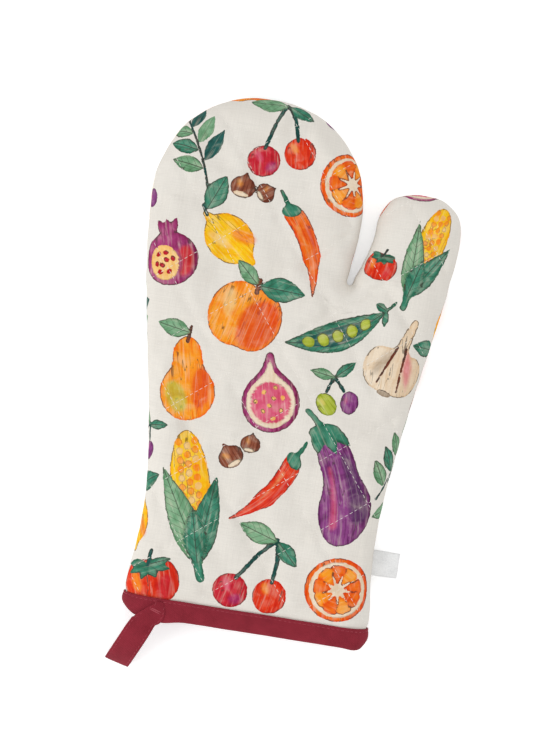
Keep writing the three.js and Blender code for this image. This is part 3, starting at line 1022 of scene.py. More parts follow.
def chilli(p, colour=SCARLET):
    q = bowed(p, 0.7)
    body = finger(q, (0, 18), (0, -8), 6.2, 5.2), finger(q, (0, -6), (0, -30), 5.2, 0.7)
    stalk = oval(q, (0, 22), 5.6, 4), finger(q, (0, 24), (3.5, 35), 1.5, 1.1)
    return [
        (FRUIT, colour, joined(*body, soft=2)),
        (FLESH, STRAW, washed(finger(q, (-2.2, 12), (-1.6, -8), 2.0, 1.2))),
        (FLESH, CRIMSON, washed(finger(q, (3.2, 10), (1.6, -22), 2.6, 1.2))),
        (LEAF, GREEN, joined(*stalk, soft=2)),
    ]


def aubergine(p):
    q = bowed(p, 0.45)
    body = joined(oval(q, (0, -17), 15.5, 19), oval(q, (0, 10), 10, 21), soft=8)
    tips = [
        blade(q, (x, 30), tip, half)
        for x, tip, half in ((-4, (-9, 17), 3.4), (0, (1, 15), 3.2), (4, (10, 18), 3.4))
    ]
    cap = joined(oval(q, (0, 29), 8.8, 4.6), *tips, finger(q, (0, 31), (-2, 42), 2.0, 1.7), soft=1.5)
    return [
        (FRUIT, PLUM, body),
        (FLESH, PINK, washed(finger(q, (-7, -24), (-5, 8), 3.6, 2.2))),
        (FLESH, INDIGO, washed(finger(q, (8, -20), (5, 12), 7, 4))),
        (LEAF, GREEN, cap),
    ]


def pea_pod(p):
    q = bowed(p, 0.5)
    peas = (oval(q, (0, 18 - 9.2 * k), 3.5 + 0.6 * (k in (1, 2, 3)), 3.7) for k in range(5))
    calyx = (blade(q, (0, 33), (x, 28), 2.4) for x in (-8, 8))
    return [
        (FRUIT, GREEN, blade(q, (0, 33), (0, -34), 9.5, 0.5)),
        (FLESH, FOREST, blade(q, (0, 25), (0, -27), 5.6, 0.5)),
        *((LEAF, LIME, pea) for pea in peas),
        (LEAF, GREEN, joined(*calyx, finger(q, (0, 32), (0, 40), 1.1), soft=1)),
    ]


def cherries(p):
    stalks = ((-10, -5), (-2, 12)), ((-2, 12), (6, 24)), ((11, -1), (10, 12)), ((10, 12), (6, 24))
    return [
        (FRUIT, CRIMSON, oval(p, (-11, -13), 10.5, 10)),
        (FRUIT, SCARLET, oval(p, (12, -9), 10, 10.2)),
        (FLESH, PINK, washed(oval(p, (-14, -10), 3.4, 5.4, 30))),
        (FLESH, AMBER, washed(oval(p, (8.5, -5.5), 3.4, 5, 30))),
        (FLESH, MAGENTA, washed(oval(p, (-6.5, -17), 5.4, 4.4, 30))),
        *((LEAF, FOREST, finger(p, start, end, 1.25)) for start, end in stalks),
        (LEAF, SAGE, blade(p, (6, 23), (-19, 26), 6.2)),
        (LEAF, GREEN, blade(p, (7, 23), (22, 12), 5)),
    ]


def bay_sprig(p):
    q = bowed(p, 0.35)
    shapes = [
        (LEAF, FOREST, finger(q, (0, -34), (0, 20), 1.0, 0.8)),
        (FRUIT, SAGE, blade(q, (0, 17), (1, 40), 5.2)),
    ]
    for k, height in enumerate((-22, -9, 4)):
        colours = (GREEN, SAGE) if k % 2 else (SAGE, FOREST)
        reach = 21 - 2.5 * k
        shapes.append((FRUIT, colours[0], blade(q, (-0.8, height), (-reach, height + 15), 5.4)))
        shapes.append((FLESH, colours[1], blade(q, (0.8, height + 5), (reach, height + 20), 5.2)))
    return shapes


def fig_half(p):
    body = joined(oval(p, (0, -5), 17, 17.5), finger(p, (0, 8), (1, 22), 6.5, 2.4), soft=6)
    # Each seed's direction in radians and its distance from the middle of the flesh.
    around = (
        (0.3, 0.8), (1.2, 0.95), (2.1, 0.75), (3.0, 0.95), (3.9, 0.7), (4.8, 0.95), (5.6, 0.8),
        (0.9, 0.3), (4.2, 0.2),
    )  # fmt: skip
    seeds = (
        oval(p, (9.4 * math.cos(a) * r, -5 + 9.8 * math.sin(a) * r), 1.25, 1.6, math.degrees(a))
        for a, r in around
    )
    return [
        (FRUIT, MAGENTA, body),
        (FLESH, CREAM, (body[0] - 2.6, body[1], body[2])),
        (FLESH, PINK, oval(p, (0, -5), 11.6, 12)),
        *((LEAF, STRAW, seed) for seed in seeds),
    ]


def peach(p):
    body = joined(oval(p, (-5, 0), 16, 18.5), oval(p, (6, 0), 15, 18), soft=2)
    return [
        (FRUIT, AMBER, body),
        (FLESH, SCARLET, washed((np.minimum(body[0], oval(p, (10, -3), 14, 17)[0]), *body[1:]))),
        (FLESH, STRAW, washed(oval(p, (-11, 4), 5, 9, 16))),
        (LEAF, BROWN, finger(p, (1, 15), (0, 22), 1.4)),
        (LEAF, GREEN, blade(p, (1, 19), (27, 24), 7)),
        (LEAF, SAGE, blade(p, (0, 19), (-16, 28), 4.6)),
    ]


def garlic(p):
    cloves = oval(p, (-8, -7), 10, 13, 12), oval(p, (8, -7), 10, 13, -12), oval(p, (0, -7), 9, 14)
    body = joined(*cloves, finger(p, (0, 4), (1.5, 25), 4.2, 2.2), soft=4)
    return [
        (FRUIT, CREAM, body),
        (FLESH, TAUPE, washed(blade(p, (-2, 10), (-13, -18), 5.0))),
        (FLESH, PINK, washed(blade(p, (3, 10), (13, -17), 4.6))),
        (LEAF, BROWN, finger(p, (-2.5, 8), (-6.5, -16), 0.85, 0.6)),
        (LEAF, BROWN, finger(p, (2.5, 9), (6.5, -17), 0.85, 0.6)),
        (LEAF, TAUPE, oval(p, (0, -20.5), 4.5, 1.8)),
    ]


def corn(p):
    body = joined(oval(p, (0, 6), 11.5, 33), oval(p, (0, -12), 12, 22), soft=5)
    husk = joined(blade(p, (0, -38), (0, -6), 6.5, 0.45), finger(p, (0, -36), (1, -46), 2.6), soft=2)
    shapes = [(FRUIT, YELLOW, body)]
    for row in range(11):
        for column in range(-2, 3):
            height = 30 - 5.2 * row + (2.6 if column % 2 else 0)
            if abs(column) * 4.6 < 10.5 * math.sqrt(max(0.05, 1 - ((height - 4) / 36) ** 2)) - 1.4:
                kernel = oval(p, (column * 4.5, height), 2.0, 2.25)
                shapes.append((FLESH, AMBER if (row + column) % 3 else STRAW, kernel))
    shapes += [
        (LEAF, SAGE, blade(p, (2, -40), (-15, 20), 8.5, 0.4)),
        (LEAF, GREEN, blade(p, (-2, -40), (16, 12), 8, 0.4)),
        (LEAF, GREEN, husk),
    ]
    return shapes


def tomato(p):
    body = joined(oval(p, (-7, 0), 11, 13), oval(p, (7, 0), 11, 13), oval(p, (0, -1), 9, 13.5), soft=4)
    star = [
        blade(p, (0, 10), (15 * math.cos(a), 10 + 9 * math.sin(a)), 2.7)
        for a in np.radians((15, 165, 205, 250, 290, 335))
    ]
    return [
        (FRUIT, SCARLET, body),
        (FLESH, AMBER, washed(oval(p, (-8, 1), 4.5, 8, 14))),
        (FLESH, CRIMSON, washed(oval(p, (9, -4), 6, 9, -14))),
        (LEAF, GREEN, joined(*star, soft=1)),
        (LEAF, FOREST, finger(p, (0, 10), (3, 18), 1.3)),
    ]


def pomegranate(p):
    crown = (blade(p, (0, 12), (x, 25), 2.9, 0.5) for x in (-6.5, 0, 6.5))
    body = joined(oval(p, (0, 0), 17.5, 16.5), *crown, soft=2)
    # Each seed's direction in radians and its distance from the middle of the flesh.
    around = (
        (0.3, 0.9), (1.3, 0.8), (2.2, 0.9), (3.2, 0.8), (4.1, 0.9), (5.2, 0.85), (0.8, 0.3),
        (3.8, 0.3),
    )  # fmt: skip
    seeds = (
        oval(p, (-4 + 6.4 * r * math.cos(a), -2 + 7.6 * r * math.sin(a)), 1.5, 1.9, math.degrees(a))
        for a, r in around
    )
    return [
        (FRUIT, MAGENTA, body),
        (FLESH, SCARLET, washed(oval(p, (9, -2), 7, 11, -10))),
        (FLESH, STRAW, oval(p, (-4, -2), 9.4, 11, 8)),
        *((LEAF, CRIMSON, seed) for seed in seeds),
    ]


def leek(p):
    q = bowed(p, 0.25)
    stem = joined(oval(q, (0, -34), 7, 5), finger(q, (0, -32), (0, 4), 5.2, 6.4), soft=3)
    roots = [finger(q, (x / 3, -38), (x, -45 + abs(x) / 3), 0.75, 0.5) for x in (-6, -2, 2, 6)]
    return [
        (FRUIT, CREAM, stem),
        (FLESH, LIME, washed(finger(q, (0, -12), (0, 8), 4.6, 6.4))),
        (FLESH, TAUPE, washed(finger(q, (3.6, -34), (3.2, -8), 1.7, 1.2))),
        *((LEAF, TAUPE, root) for root in roots),
        (LEAF, TEAL, ribbed(blade(q, (-2.5, -6), (-16, 38), 6.5, 0.5))),
        (LEAF, FOREST, ribbed(blade(q, (2.5, -6), (17, 33), 6.2, 0.5))),
        (LEAF, GREEN, ribbed(blade(q, (0, -8), (1.5, 46), 7.5, 0.5))),
    ]


def chestnuts(p):
    shapes = []
    for x, y, size, turn in ((-8, -1, 1.0, 16), (11, 5, 0.8, -30)):
        q = turned(p - (x, y), turn) / size
        husk = joined(oval(q, (0, 0), 11, 9.5), finger(q, (0, 5), (0, 12), 3, 1.2), soft=4)
        for layer, colour, (depth, across, along) in (
            (FRUIT, BROWN, husk),
            (FLESH, AMBER, washed(oval(q, (-3.5, 2.5), 4, 5.5, 24))),
            (LEAF, CREAM, oval(q, (0, -6.4), 6.6, 2.4)),
        ):
            shapes.append((layer, colour, (depth * size, across, along)))
    return shapes


def olives(p):
    return [
        (FRUIT, LIME, oval(p, (-7, -4), 6.2, 8, 24)),
        (FRUIT, PLUM, oval(p, (8, -6), 6, 7.6, -18)),
        (FLESH, STRAW, washed(oval(p, (-9, -2), 2.4, 3.8, 24))),
        (FLESH, PINK, washed(oval(p, (6, -4), 2.2, 3.6, -18))),
        (LEAF, FOREST, finger(p, (-5, 4), (2, 13), 1.15)),
        (LEAF, FOREST, finger(p, (6, 2), (2, 13), 1.15)),
        (LEAF, SAGE, blade(p, (2, 12), (-13, 20), 3.6)),
        (LEAF, GREEN, blade(p, (2, 12), (18, 19), 3.6)),
    ]


def orange_chilli(p):
    return chilli(p, ORANGE)


# Motif, where its middle lies on the cut cloth, its turn in degrees and its size.
FRONT_PRINT = (
    (corn, -44, 77, 14, 1.08), (cherries, 2, 36, -10, 1.05), (orange_slice, 54, 35, 10, 0.98),
    (chilli, 5, 89, -36, 1.02), (aubergine, 46, 102, 20, 1.1), (fig_half, -6, 148, 12, 1.06),
    (pear, -59, 151, 12, 1.02), (peach, -29, 193, -14, 1.1), (pea_pod, 30, 190, -64, 1.0),
    (garlic, 68, 180, -14, 1.04), (pomegranate, -80, 221, 14, 1.0), (lemon, -46, 239, 52, 1.08),
    (orange_chilli, 3, 243, 26, 1.04), (orange_slice, 25, 284, 20, 1.0),
    (cherries, -24, 304, 10, 0.98), (bay_sprig, -76, 297, 30, 0.88), (corn, 76, 249, -16, 0.8),
    (bay_sprig, 82, 118, -20, 0.8), (chestnuts, -19, 109, 24, 0.72), (olives, 34, 153, 20, 0.95),
    (lemon, -82, 58, 14, 0.95), (tomato, -62, 22, 14, 1.05), (peach, -50, 344, 10, 0.9),
    (olives, 8, 334, -40, 0.9), (chestnuts, 102, 156, 10, 0.9), (lemon, 103, 206, 160, 0.85),
    (fig_half, 64, 301, 30, 0.9), (olives, -84, 108, -16, 0.85), (cherries, 92, 72, 30, 0.8),
    (bay_sprig, -108, 180, -20, 0.8), (tomato, 48, 237, -10, 0.62),
    (olives, -108, 258, 30, 0.8), (chestnuts, -37, 270, -24, 0.72),
)  # fmt: skip
BACK_PRINT = (
    (aubergine, -40, 80, -18, 1.05), (lemon, 4, 38, 24, 1.05), (garlic, 52, 40, 8, 1.05),
    (orange_slice, 2, 98, 0, 1.1), (corn, 52, 108, -14, 1.05), (pear, 8, 162, -12, 1.05),
    (cherries, -54, 150, 6, 1.05), (bay_sprig, -30, 206, 20, 1.05), (chilli, 30, 206, 58, 1.05),
    (fig_half, -68, 214, -20, 1.08), (peach, 68, 178, 10, 1.05), (pea_pod, 68, 240, 24, 0.95),
    (orange_slice, -50, 268, 30, 1.05), (aubergine, 2, 266, 12, 0.95), (leek, -24, 324, 74, 0.85),
    (lemon, -90, 262, -10, 0.9), (cherries, 92, 276, -14, 0.8), (bay_sprig, -98, 172, -30, 0.8),
    (olives, 24, 66, 20, 0.9), (chestnuts, -80, 104, 40, 0.95),
    (orange_chilli, -56, 24, 74, 0.95), (olives, 34, 312, 0, 0.9), (peach, -84, 310, 0, 0.9),
    (tomato, 98, 210, -30, 1.0), (tomato, -14, 130, 10, 0.6), (lemon, 92, 60, 20, 0.8),
)  # fmt: skip


PARTED = 0.55  # mm inside its edge that a shape still counts as covered
MOTIF_REACH = 62  # mm from a motif's middle within which all its shapes lie
NOWHERE = -30.0  # depth in mm where a layer has no paint


def linear(hex_colour):
    """An sRGB hex colour as the linear RGBA that the shader takes."""
    value = [int(hex_colour[i : i + 2], 16) / 255 for i in (1, 3, 5)]
    return (*(v / 12.92 if v <= 0.04045 else ((v + 0.055) / 1.055) ** 2.4 for v in value), 1)


def painted(mesh, layout):
    """Paints the print on a cloth: for each layer a colour, and the depth, across and along of the
    shape that is uppermost there, worked out on the cloth as it was cut."""
    cut = read(mesh, "cut", 3)[:, :2]
    depth = np.full((3, len(cut)), NOWHERE)
    across, along = np.zeros_like(depth), np.zeros_like(depth)
    tint = np.zeros((3, len(cut), 3))
    for motif, x, y, turn, size in layout:
        local = turned(cut - (x, y), turn) / size
        near = np.flatnonzero((np.abs(local) < MOTIF_REACH).all(1))
        for layer, colour, (deep, over, length) in motif(local[near]):
            deep = deep * size
            mine = (deep > 0) | (deep > depth[layer, near])  # later shapes cover earlier ones
            where, under = near[mine], near[~mine]
            if length.max() > WASHED / 2:
                # Where a later shape covers an earlier one, only a broken line parts them.
                both = depth[layer, where] > PARTED
                deep[mine] = np.where(both, np.maximum(deep[mine], PARTED), deep[mine])
                beside = np.maximum(-deep[~mine], PARTED)
                depth[layer, under] = np.minimum(depth[layer, under], beside)
            depth[layer, where] = deep[mine]
            across[layer, where] = over[mine] * size
            along[layer, where] = length[mine] * size
            tint[layer, where] = linear(colour)[:3]
    for layer, name in enumerate(("fruit", "flesh", "leaf")):
        store(mesh, f"{name}_colour", tint[layer])
        store(mesh, f"{name}_shape", np.c_[depth[layer], across[layer], along[layer]])


# ---------------------------------------------------------------- materials


def node(tree, kind, settings=None, *values, **named):
    """Adds a node with its settings. Its inputs, first those given in order and then those given by
    name, each take a value or a link to another node's output."""
    made = tree.nodes.new(f"ShaderNode{kind}")
    for key, value in (settings or {}).items():
        setattr(made, key, value)
    named = {key.replace("_", " "): value for key, value in named.items()}
    for key, value in [*enumerate(values), *named.items()]:
        if isinstance(value, bpy.types.NodeSocket):
            tree.links.new(value, made.inputs[key])
        else:
            made.inputs[key].default_value = value
    return made.outputs


def material(name, **settings):
    """A new material with its shader's inputs set, and its node tree and shader."""
    made = bpy.data.materials.new(name)
    made.use_nodes = True
    shader = made.node_tree.nodes["Principled BSDF"]
    for key, value in settings.items():
        shader.inputs[key.replace("_", " ")].default_value = value
    return made, made.node_tree, shader


def seen_rays(tree):
    """1 for what the camera sees, also in a mirror or through glass, and 0 for the light it casts."""
    rays = node(tree, "LightPath")
    seen = node(tree, "Math", LARGEST, rays["Is Camera Ray"], rays["Is Glossy Ray"])["Value"]
    return node(tree, "Math", LARGEST, seen, rays["Is Transmission Ray"])["Value"]


# Settings of the Mix, Math and Map Range nodes, and the wave texture's scale for bands 1 mm apart.
# A Map Range node takes a value, then the two ends of its range and what they become.
COLOUR = {"data_type": "RGBA", "blend_type": "MIX", "clamp_factor": True}
SHADE = COLOUR | {"blend_type": "MULTIPLY"}
PLUS, MINUS, TIMES, TIMES_PLUS, LARGEST, UNSIGNED = (
    {"operation": way}
    for way in ("ADD", "SUBTRACT", "MULTIPLY", "MULTIPLY_ADD", "MAXIMUM", "ABSOLUTE")
)
SOFT_STEP = {"interpolation_type": "SMOOTHSTEP"}
BANDS = 0.314
INK = linear("#3b332e")

# Plain-woven cotton, screen printed: matt, a little uneven in colour, with slubs in both directions
# and the print's colours pooled at their edges like watercolour, under a broken ink line.
PRINTED, tree, shader = material("printed_cotton", Roughness=0.9, Specular_IOR_Level=0.2)
cut = node(tree, "Attribute", {"attribute_name": "cut"})["Vector"]
YARN = 0.95  # mm between yarns: the real 0.5 mm is too fine to show, so it is drawn coarser
yarns = {"Vector": cut, "Scale": BANDS / YARN, "Distortion": 0.6, "Detail": 1.0, "Detail_Scale": 0.4}
weft = node(tree, "TexWave", {"bands_direction": "X"}, **yarns)["Fac"]
warp = node(tree, "TexWave", {"bands_direction": "Y"}, **yarns)["Fac"]
weave = node(tree, "Math", TIMES, weft, warp)["Value"]
slubs = []
for stretch in ((0.035, 0.75, 1), (0.75, 0.035, 1)):
    lengthened = node(tree, "Mapping", {}, Vector=cut, Scale=stretch)["Vector"]
    slubs.append(node(tree, "TexNoise", {}, Vector=lengthened, Scale=1.6, Detail=2.0)["Fac"])
slub = node(tree, "Math", PLUS, slubs[0], slubs[1])["Value"]
cloud = node(tree, "TexNoise", {}, Vector=cut, Scale=0.03, Detail=3.0)["Fac"]
painted_on = node(tree, "Mix", COLOUR, Factor=cloud, A=linear("#e9e5dd"), B=linear("#dfd9d0"))["Result"]
# Painted shade and light: the cloth's colour is a little darker or lighter along its slubs.
slub_shade = node(tree, "MapRange", {}, slub, 0.75, 1.25, 0.965, 1.03)["Result"]
# Each layer of the print: how strongly its colour pools at the edge, its ink line, its streaks, its
# paler gleams and its pen strokes show.
for layer_name, pooled, inked, streaked, gleaming, drawn in (
    ("fruit", 0.5, 0.8, 0.65, 0.25, 0.8),
    ("flesh", 0.15, 0.3, 0.35, 0.3, 0.0),
    ("leaf", 0.5, 0.75, 0.3, 0.25, 0.0),
):
    colour = node(tree, "Attribute", {"attribute_name": f"{layer_name}_colour"})["Color"]
    shape = node(tree, "Attribute", {"attribute_name": f"{layer_name}_shape"})["Vector"]
    depth, across, along = node(tree, "SeparateXYZ", {}, shape)
    tremble = node(tree, "TexNoise", {}, Vector=cut, Scale=0.33, Detail=3.0, Roughness=0.6)["Fac"]
    edge = node(tree, "Math", TIMES_PLUS, tremble, 1.5, -0.75)["Value"]
    edge = node(tree, "Math", PLUS, edge, depth)["Value"]
    soft = node(tree, "MapRange", {}, along, -200, -400)["Result"]
    blur = node(tree, "Math", TIMES_PLUS, soft, 3.2, 0.16)["Value"]
    cover = node(tree, "MapRange", SOFT_STEP, edge, -0.1, blur)["Result"]
    melt = node(tree, "Math", TIMES_PLUS, soft, -0.35, 1.0)["Value"]
    cover = node(tree, "Math", TIMES, cover, melt)["Value"]
    # Washes: paler where the water stood, darker where the colour ran together.
    wash = node(tree, "TexNoise", {}, Vector=cut, Scale=0.11, Detail=4.0, Distortion=0.8)["Fac"]
    pale = node(tree, "MapRange", {}, wash, 0.5, 0.74, 0, 0.22)["Result"]
    deep = node(tree, "MapRange", {}, wash, 0.5, 0.3, 0, 0.55)["Result"]
    tone = node(tree, "Mix", COLOUR, Factor=pale, A=colour, B=linear("#f3e6d0"))["Result"]
    tone = node(tree, "Mix", SHADE, Factor=deep, A=tone, B=colour)["Result"]
    pool = node(tree, "MapRange", {}, edge, 0.2, 1.8, pooled, 0)["Result"]
    tone = node(tree, "Mix", SHADE, Factor=pool, A=tone, B=colour)["Result"]
    shadow = node(tree, "MapRange", {}, across, 2, 17, 0, pooled)["Result"]
    tone = node(tree, "Mix", SHADE, Factor=shadow, A=tone, B=colour)["Result"]
    # Dry brush streaks run the length of each shape.
    grain = node(tree, "CombineXYZ", {}, across, along)["Vector"]
    grain = node(tree, "Mapping", {}, Vector=grain, Scale=(0.55, 0.05, 1))["Vector"]
    streak = node(tree, "TexNoise", {}, Vector=grain, Scale=1.0, Detail=3.0, Distortion=0.35)["Fac"]
    gleam = node(tree, "MapRange", {}, streak, 0.47, 0.3, 0, gleaming)["Result"]
    streak = node(tree, "MapRange", {}, streak, 0.54, 0.7, 0, streaked)["Result"]
    tone = node(tree, "Mix", SHADE, Factor=streak, A=tone, B=colour)["Result"]
    tone = node(tree, "Mix", COLOUR, Factor=gleam, A=tone, B=linear("#f7ead6"))["Result"]
    # A few pen strokes follow the same grain.
    stroke = {"Vector": grain, "Location": (7, 3, 0), "Scale": (0.42, 0.6, 1)}
    stroke = node(tree, "Mapping", {}, **stroke)["Vector"]
    stroke = node(tree, "TexNoise", {}, Vector=stroke, Scale=1.0, Detail=1.0)["Fac"]
    stroke = node(tree, "Math", MINUS, stroke, 0.5)["Value"]
    stroke = node(tree, "Math", UNSIGNED, stroke)["Value"]
    stroke = node(tree, "MapRange", {}, stroke, 0.016, 0.008)["Result"]
    # Ink: a broken line just inside the edge, and on leaves a midrib with side veins.
    beside = node(tree, "Math", MINUS, edge, 0.3)["Value"]
    beside = node(tree, "Math", UNSIGNED, beside)["Value"]
    line = node(tree, "MapRange", {}, beside, 0.34, 0.2)["Result"]
    broken = node(tree, "MapRange", {}, wash, 0.46, 0.5)["Result"]
    bold = node(tree, "Math", TIMES, stroke, drawn)["Value"]
    line = node(tree, "Math", LARGEST, line, bold)["Value"]
    line = node(tree, "Math", TIMES, line, broken)["Value"]
    crisp = node(tree, "Math", MINUS, 1.0, soft)["Value"]
    line = node(tree, "Math", TIMES, line, crisp)["Value"]
    off = node(tree, "Math", UNSIGNED, across)["Value"]
    rib = node(tree, "MapRange", {}, off, 0.36, 0.2)["Result"]
    slant = node(tree, "Math", TIMES_PLUS, off, -1.1, along)["Value"]
    slant = node(tree, "Math", {"operation": "PINGPONG"}, slant, 2.4)["Value"]
    vein = node(tree, "MapRange", {}, slant, 0.3, 0.16, 0, 0.75)["Result"]
    vein = node(tree, "Math", LARGEST, rib, vein)["Value"]
    leafy = node(tree, "MapRange", {}, along, 0.3, 1.0)["Result"]
    inside = node(tree, "MapRange", {}, edge, 0.5, 0.8)["Result"]
    vein = node(tree, "Math", TIMES, vein, leafy)["Value"]
    vein = node(tree, "Math", TIMES, vein, inside)["Value"]
    line = node(tree, "Math", LARGEST, line, vein)["Value"]
    line = node(tree, "Math", TIMES, line, inked)["Value"]
    tone = node(tree, "Mix", COLOUR, Factor=line, A=tone, B=INK)["Result"]
    painted_on = node(tree, "Mix", COLOUR, Factor=cover, A=painted_on, B=tone)["Result"]
# Painted shade and light in the weave: darker in the hollows between the yarns and lighter on them,
# times the slubs' painted shade, laid over the print.
weave_shade = node(tree, "MapRange", {}, weave, 0.0, 0.7, 0.97, 1.02)["Result"]
shade = node(tree, "Math", TIMES, weave_shade, slub_shade)["Value"]
shade = node(tree, "CombineColor", {}, shade, shade, shade)["Color"]
painted_on = node(tree, "Mix", SHADE, Factor=1.0, A=painted_on, B=shade)["Result"]
tree.links.new(painted_on, shader.inputs["Base Color"])
relief = node(tree, "Math", PLUS, weave, slub)["Value"]
bump = node(tree, "Bump", {}, Strength=0.5, Distance=0.00016, Height=relief)["Normal"]
tree.links.new(bump, shader.inputs["Normal"])

TWILL = 45  # degrees, the weave's turn that also makes its second yarns run askew

# Each woven piece that isn't printed: colours of its raised and sunken yarns, the sunken ones darker
# with painted shade, mm between yarns, turn of the weave, roughness, sheen and how far the yarns
# stand up, in mm. Real yarns lie 0.3 to 0.5 mm apart, which is too fine to show, so they are drawn
# coarser.
WOVEN = {
    # Cotton twill tape: deep red, matt, its diagonal wale just showing, paler in blotches and with
    # painted highlight on its raised yarns.
    "cotton_twill_tape": (("#902836", "#781d29"), 0.9, TWILL, 0.85, 0.0, 0.12),
    # Undyed cotton calico: cream, slightly rough, plain weave.
    "calico_lining": (("#eee9dd", "#ddd6c6"), 0.8, 0, 0.95, 0.05, 0.1),
    # Polyester wadding: loose pale fibres.
    "polyester_wadding": (("#f5f3ee", "#e8e4da"), 2.5, 20, 1.0, 0.2, 0.2),
    # Woven satin ribbon: white, fine ribs across it, a soft shine.
    "woven_satin_ribbon": (("#f2f2f1", "#dadada"), 0.7, 0, 0.5, 0.1, 0.05),
    # Spun polyester sewing thread: off-white, twisted.
    "spun_thread": (("#f7f4ee", "#dcd6cb"), 0.8, 60, 0.6, 0.1, 0.03),
    # The same thread dyed to match the tape, a little paler.
    "dyed_thread": (("#b4525d", "#8a303b"), 0.8, 60, 0.6, 0.0, 0.03),
}
woven = {}
for name, ((raised, sunken), pitch, turn, roughness, sheen, height) in WOVEN.items():
    woven[name], tree, shader = material(
        name, Roughness=roughness, Sheen_Weight=sheen, Specular_IOR_Level=0.2
    )
    in_mm = {"Scale": (1000, 1000, 1000), "Rotation": (0, 0, math.radians(turn))}
    place = node(tree, "Mapping", {}, node(tree, "TexCoord")["Object"], **in_mm)["Vector"]
    ribs = {"Vector": place, "Scale": BANDS / pitch, "Distortion": 0.8, "Detail": 1.5}
    second, share = ("DIAGONAL", 0.2) if turn == TWILL else ("Y", 0.5)
    warp, weft = (
        node(tree, "TexWave", {"bands_direction": way}, **ribs)["Fac"] for way in ("X", second)
    )
    yarns = node(tree, "Math", TIMES_PLUS, weft, share, warp)["Value"]
    blotch = node(tree, "TexNoise", {}, Vector=place, Scale=0.12, Detail=4.0)["Fac"]
    fibre = node(tree, "TexNoise", {}, Vector=place, Scale=1.3, Detail=2.0)["Fac"]
    mixed = node(tree, "Math", PLUS, blotch, fibre)["Value"]
    mixed = node(tree, "Math", TIMES_PLUS, yarns, 0.45, mixed)["Value"]
    # Painted shade on the sunken yarns and painted highlight on the raised ones, with the blotches' and
    # fibres' own uneven tone mixed in.
    tone = node(tree, "MapRange", {}, mixed, 0.9, 1.6)["Result"]
    tone = node(tree, "Mix", COLOUR, Factor=tone, A=linear(sunken), B=linear(raised))["Result"]
    tree.links.new(tone, shader.inputs["Base Color"])
    relief = node(tree, "Math", TIMES_PLUS, fibre, 0.6, yarns)["Value"]
    bump = node(tree, "Bump", {}, Strength=0.6, Distance=height / 1000, Height=relief)
    tree.links.new(bump["Normal"], shader.inputs["Normal"])

# ---------------------------------------------------------------- making the mitt


def quilting(wall, sheet):
    """Stitches along every quilting line, from just above the tape to just inside the seam."""
    bare = bpy.data.objects.new("bare", sheet)
    bpy.context.scene.collection.objects.link(bare)
    bpy.context.view_layer.update()
    start = BINDING + 1.5
    found = []
    for angle, through in wall["lines"]:
        ahead = heading(angle)
        beside = np.array([-ahead[1], ahead[0]])
        for n in range(-10, 11):
            reach = np.arange(-QUILT_REACH, QUILT_REACH + 1, 2.0)
            line = np.array([through + beside * (n * QUILT_PITCH) + ahead * t for t in reach])
            inset, _ = inset_of(line)
            inset[~within_outline(line)] = -1
            sewable = (inset > 2.2) & (line[:, 1] > start)
            for run in np.split(line, np.flatnonzero(np.diff(sewable)) + 1):
                middle = run[len(run) // 2]
                if len(run) > 3 and within_outline(middle[None])[0] and middle[1] > start:
                    inwards = (0, 0, -wall["sign"])
                    found += stitch_places(bare, run, QUILT_STITCH_PITCH, 0.02, inwards)
    bpy.data.objects.remove(bare)
    return found


def bending(name, mesh, look, slot, bodies, start, end, replaces=()):
    """A piece put in its place in the part's frame on no body, its place baked into its mesh."""
    piece = finish(name, mesh, woven[look], body=None, replaces=replaces)
    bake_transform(piece)
    return piece


SMOOTHED = {"kind": "SUBSURF", "levels": 1, "render_levels": 1}
# Both pads of a wall: outer and inner face, look, slot and how tightly filled each is. A face is
# its depth, and how much deeper it lies at the stitches and under the tape, in mm.
PADS = (
    ("wadding", (1.35, 1.1, 0.9), (4.6, -0.5, -0.9), "polyester_wadding", "wadding", 0.5),
    ("lining", (5.0, -0.2, -1.1), (5.7, -0.35, -1.25), "calico_lining", "lining_cotton", 0.4),
)

for wall, layout in ((FRONT, FRONT_PRINT), (BACK, BACK_PRINT)):
    name = wall["name"]
    sheet = with_modifier(wall_surface(wall), **SMOOTHED)
    painted(sheet, layout)
    threads = stitches(quilting(wall, sheet), *QUILT_STITCH)
    finish(f"{name}_quilting_thread", threads, woven["spun_thread"])
    mesh = with_modifier(sheet, "SOLIDIFY", thickness=CLOTH_THICKNESS, offset=-1.0)
    shade_smooth(mesh)
    cloth = finish(
        f"{name}_printed_cloth", mesh, PRINTED, replaces=[f"{name}_outer"]
    )
    for layer, outer, inner, look, slot, fill in PADS:
        mesh = pad_between(wall, outer, inner)
        piece = finish(f"{name}_{layer}_pad", mesh, woven[look], replaces=[f"{name}_{layer}"])

mesh = with_modifier(seam_allowance(), "SOLIDIFY", thickness=ALLOWANCE_THICKNESS, offset=0.0)
finish("seam_allowance", mesh, woven["calico_lining"], replaces=["overlocked_seam"])
threads = stitches(overlocking(), *OVERLOCK_STITCH)
finish("overlock_stitching", threads, woven["spun_thread"])
tape = skin_to_mesh(tape_round_mouth())
finish("binding_tape", tape, woven["cotton_twill_tape"], replaces=["cuff_binding"])
threads = stitches(tape_stitches(), *TAPE_STITCH)
finish("binding_stitching", threads, woven["dyed_thread"])

loop_bend = ("mitt", "loop"), (LOOP_ROOT[0], 0.4, LOOP_ROOT[2]), (LOOP_ROOT[0], -8.0, LOOP_ROOT[2])
strap = with_modifier(skin_to_mesh(strap_skin()), **SMOOTHED)
bending(
    "hanging_loop_strap", strap, "cotton_twill_tape", "binding_cotton", *loop_bend,
    replaces=["hanging_loop"],
)  # fmt: skip
threads = stitches(strap_stitches(), *TAPE_STITCH)
bending("hanging_loop_stitching", threads, "dyed_thread", "binding_cotton", *loop_bend)
threads = stitches(tack_stitches(), *TACK_STITCH)
finish("loop_bar_tack", threads, woven["dyed_thread"])

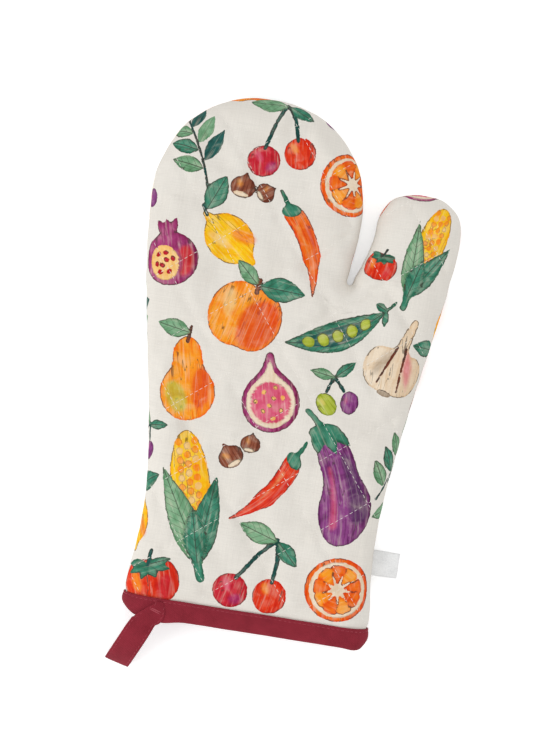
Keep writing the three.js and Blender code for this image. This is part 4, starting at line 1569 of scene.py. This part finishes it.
mesh = skin_to_mesh(label_skin())
label = with_modifier(mesh, "SOLIDIFY", thickness=LABEL_THICKNESS, offset=0.0)
bending(
    "woven_label", label, "woven_satin_ribbon", "label_satin", ("mitt", "label"),
    (LABEL_ROOT - 0.6, LABEL_MIDDLE, 0), (LABEL_ROOT + 1.6, LABEL_MIDDLE, 0),
    replaces=["side_label"],
)  # fmt: skip

# ---------------------------------------------------------------- studio

FLOOR_HALF, FLOOR_GLOW = 3, 0.4  # metres, and strength of its glow
SKY_LIGHT, SKY_SEEN = 0.86, 1.0  # strength of the white surroundings, as light and as seen

floor_skin = bmesh.new()
bmesh.ops.create_grid(floor_skin, x_segments=2, y_segments=2, size=FLOOR_HALF)
floor = bpy.data.objects.new("floor", skin_to_mesh(floor_skin))
# White paper, matt and evenly lit: what the camera sees of it glows a little.
FLOOR, tree, shader = material("floor_paper", Base_Color=linear("#f4f4f4"), Roughness=0.95)
glow = node(tree, "Math", TIMES, seen_rays(tree), FLOOR_GLOW)["Value"]
shader.inputs["Emission Color"].default_value = (1, 1, 1, 1)
tree.links.new(glow, shader.inputs["Emission Strength"])
floor.data.materials.append(FLOOR)
bpy.context.scene.collection.objects.link(floor)

CAMERA_LENS, CAMERA_TURN = 85, 9  # mm, and degrees about the line of sight, straight down
CAMERA_PLACE = (-0.0039, 0.0161, 1.093)

scene = bpy.context.scene
camera_data = bpy.data.cameras.new("camera")
camera_data.lens = CAMERA_LENS
camera = bpy.data.objects.new("camera", camera_data)
scene.collection.objects.link(camera)
camera.location = CAMERA_PLACE
camera.rotation_euler = (0, 0, math.radians(CAMERA_TURN))
scene.camera = camera

scene.view_settings.view_transform = "Standard"
world = bpy.data.worlds.new("studio")
scene.world = world
world.use_nodes = True
tree = world.node_tree
strength = node(tree, "MapRange", {}, seen_rays(tree), 0, 1, SKY_LIGHT, SKY_SEEN)["Result"]
background = tree.nodes["Background"]
background.inputs["Color"].default_value = (1, 1, 1, 1)
tree.links.new(strength, background.inputs["Strength"])

# Lamps: power in watts, width and place in metres, all turned towards the frame's origin.
for name, power, size, place in (
    ("key", 4.6, 0.5, (-1.02, -0.64, 0.62)),
    ("fill", 1.3, 1.2, (0.5, 0.6, 1.1)),
):
    lamp_data = bpy.data.lights.new(name, "AREA")
    lamp_data.energy, lamp_data.size = power, size
    lamp = bpy.data.objects.new(name, lamp_data)
    lamp.location = place
    lamp.rotation_mode = "QUATERNION"
    lamp.rotation_quaternion = (Vector((0, 0, 0)) - Vector(place)).to_track_quat("-Z", "Y")
    scene.collection.objects.link(lamp)
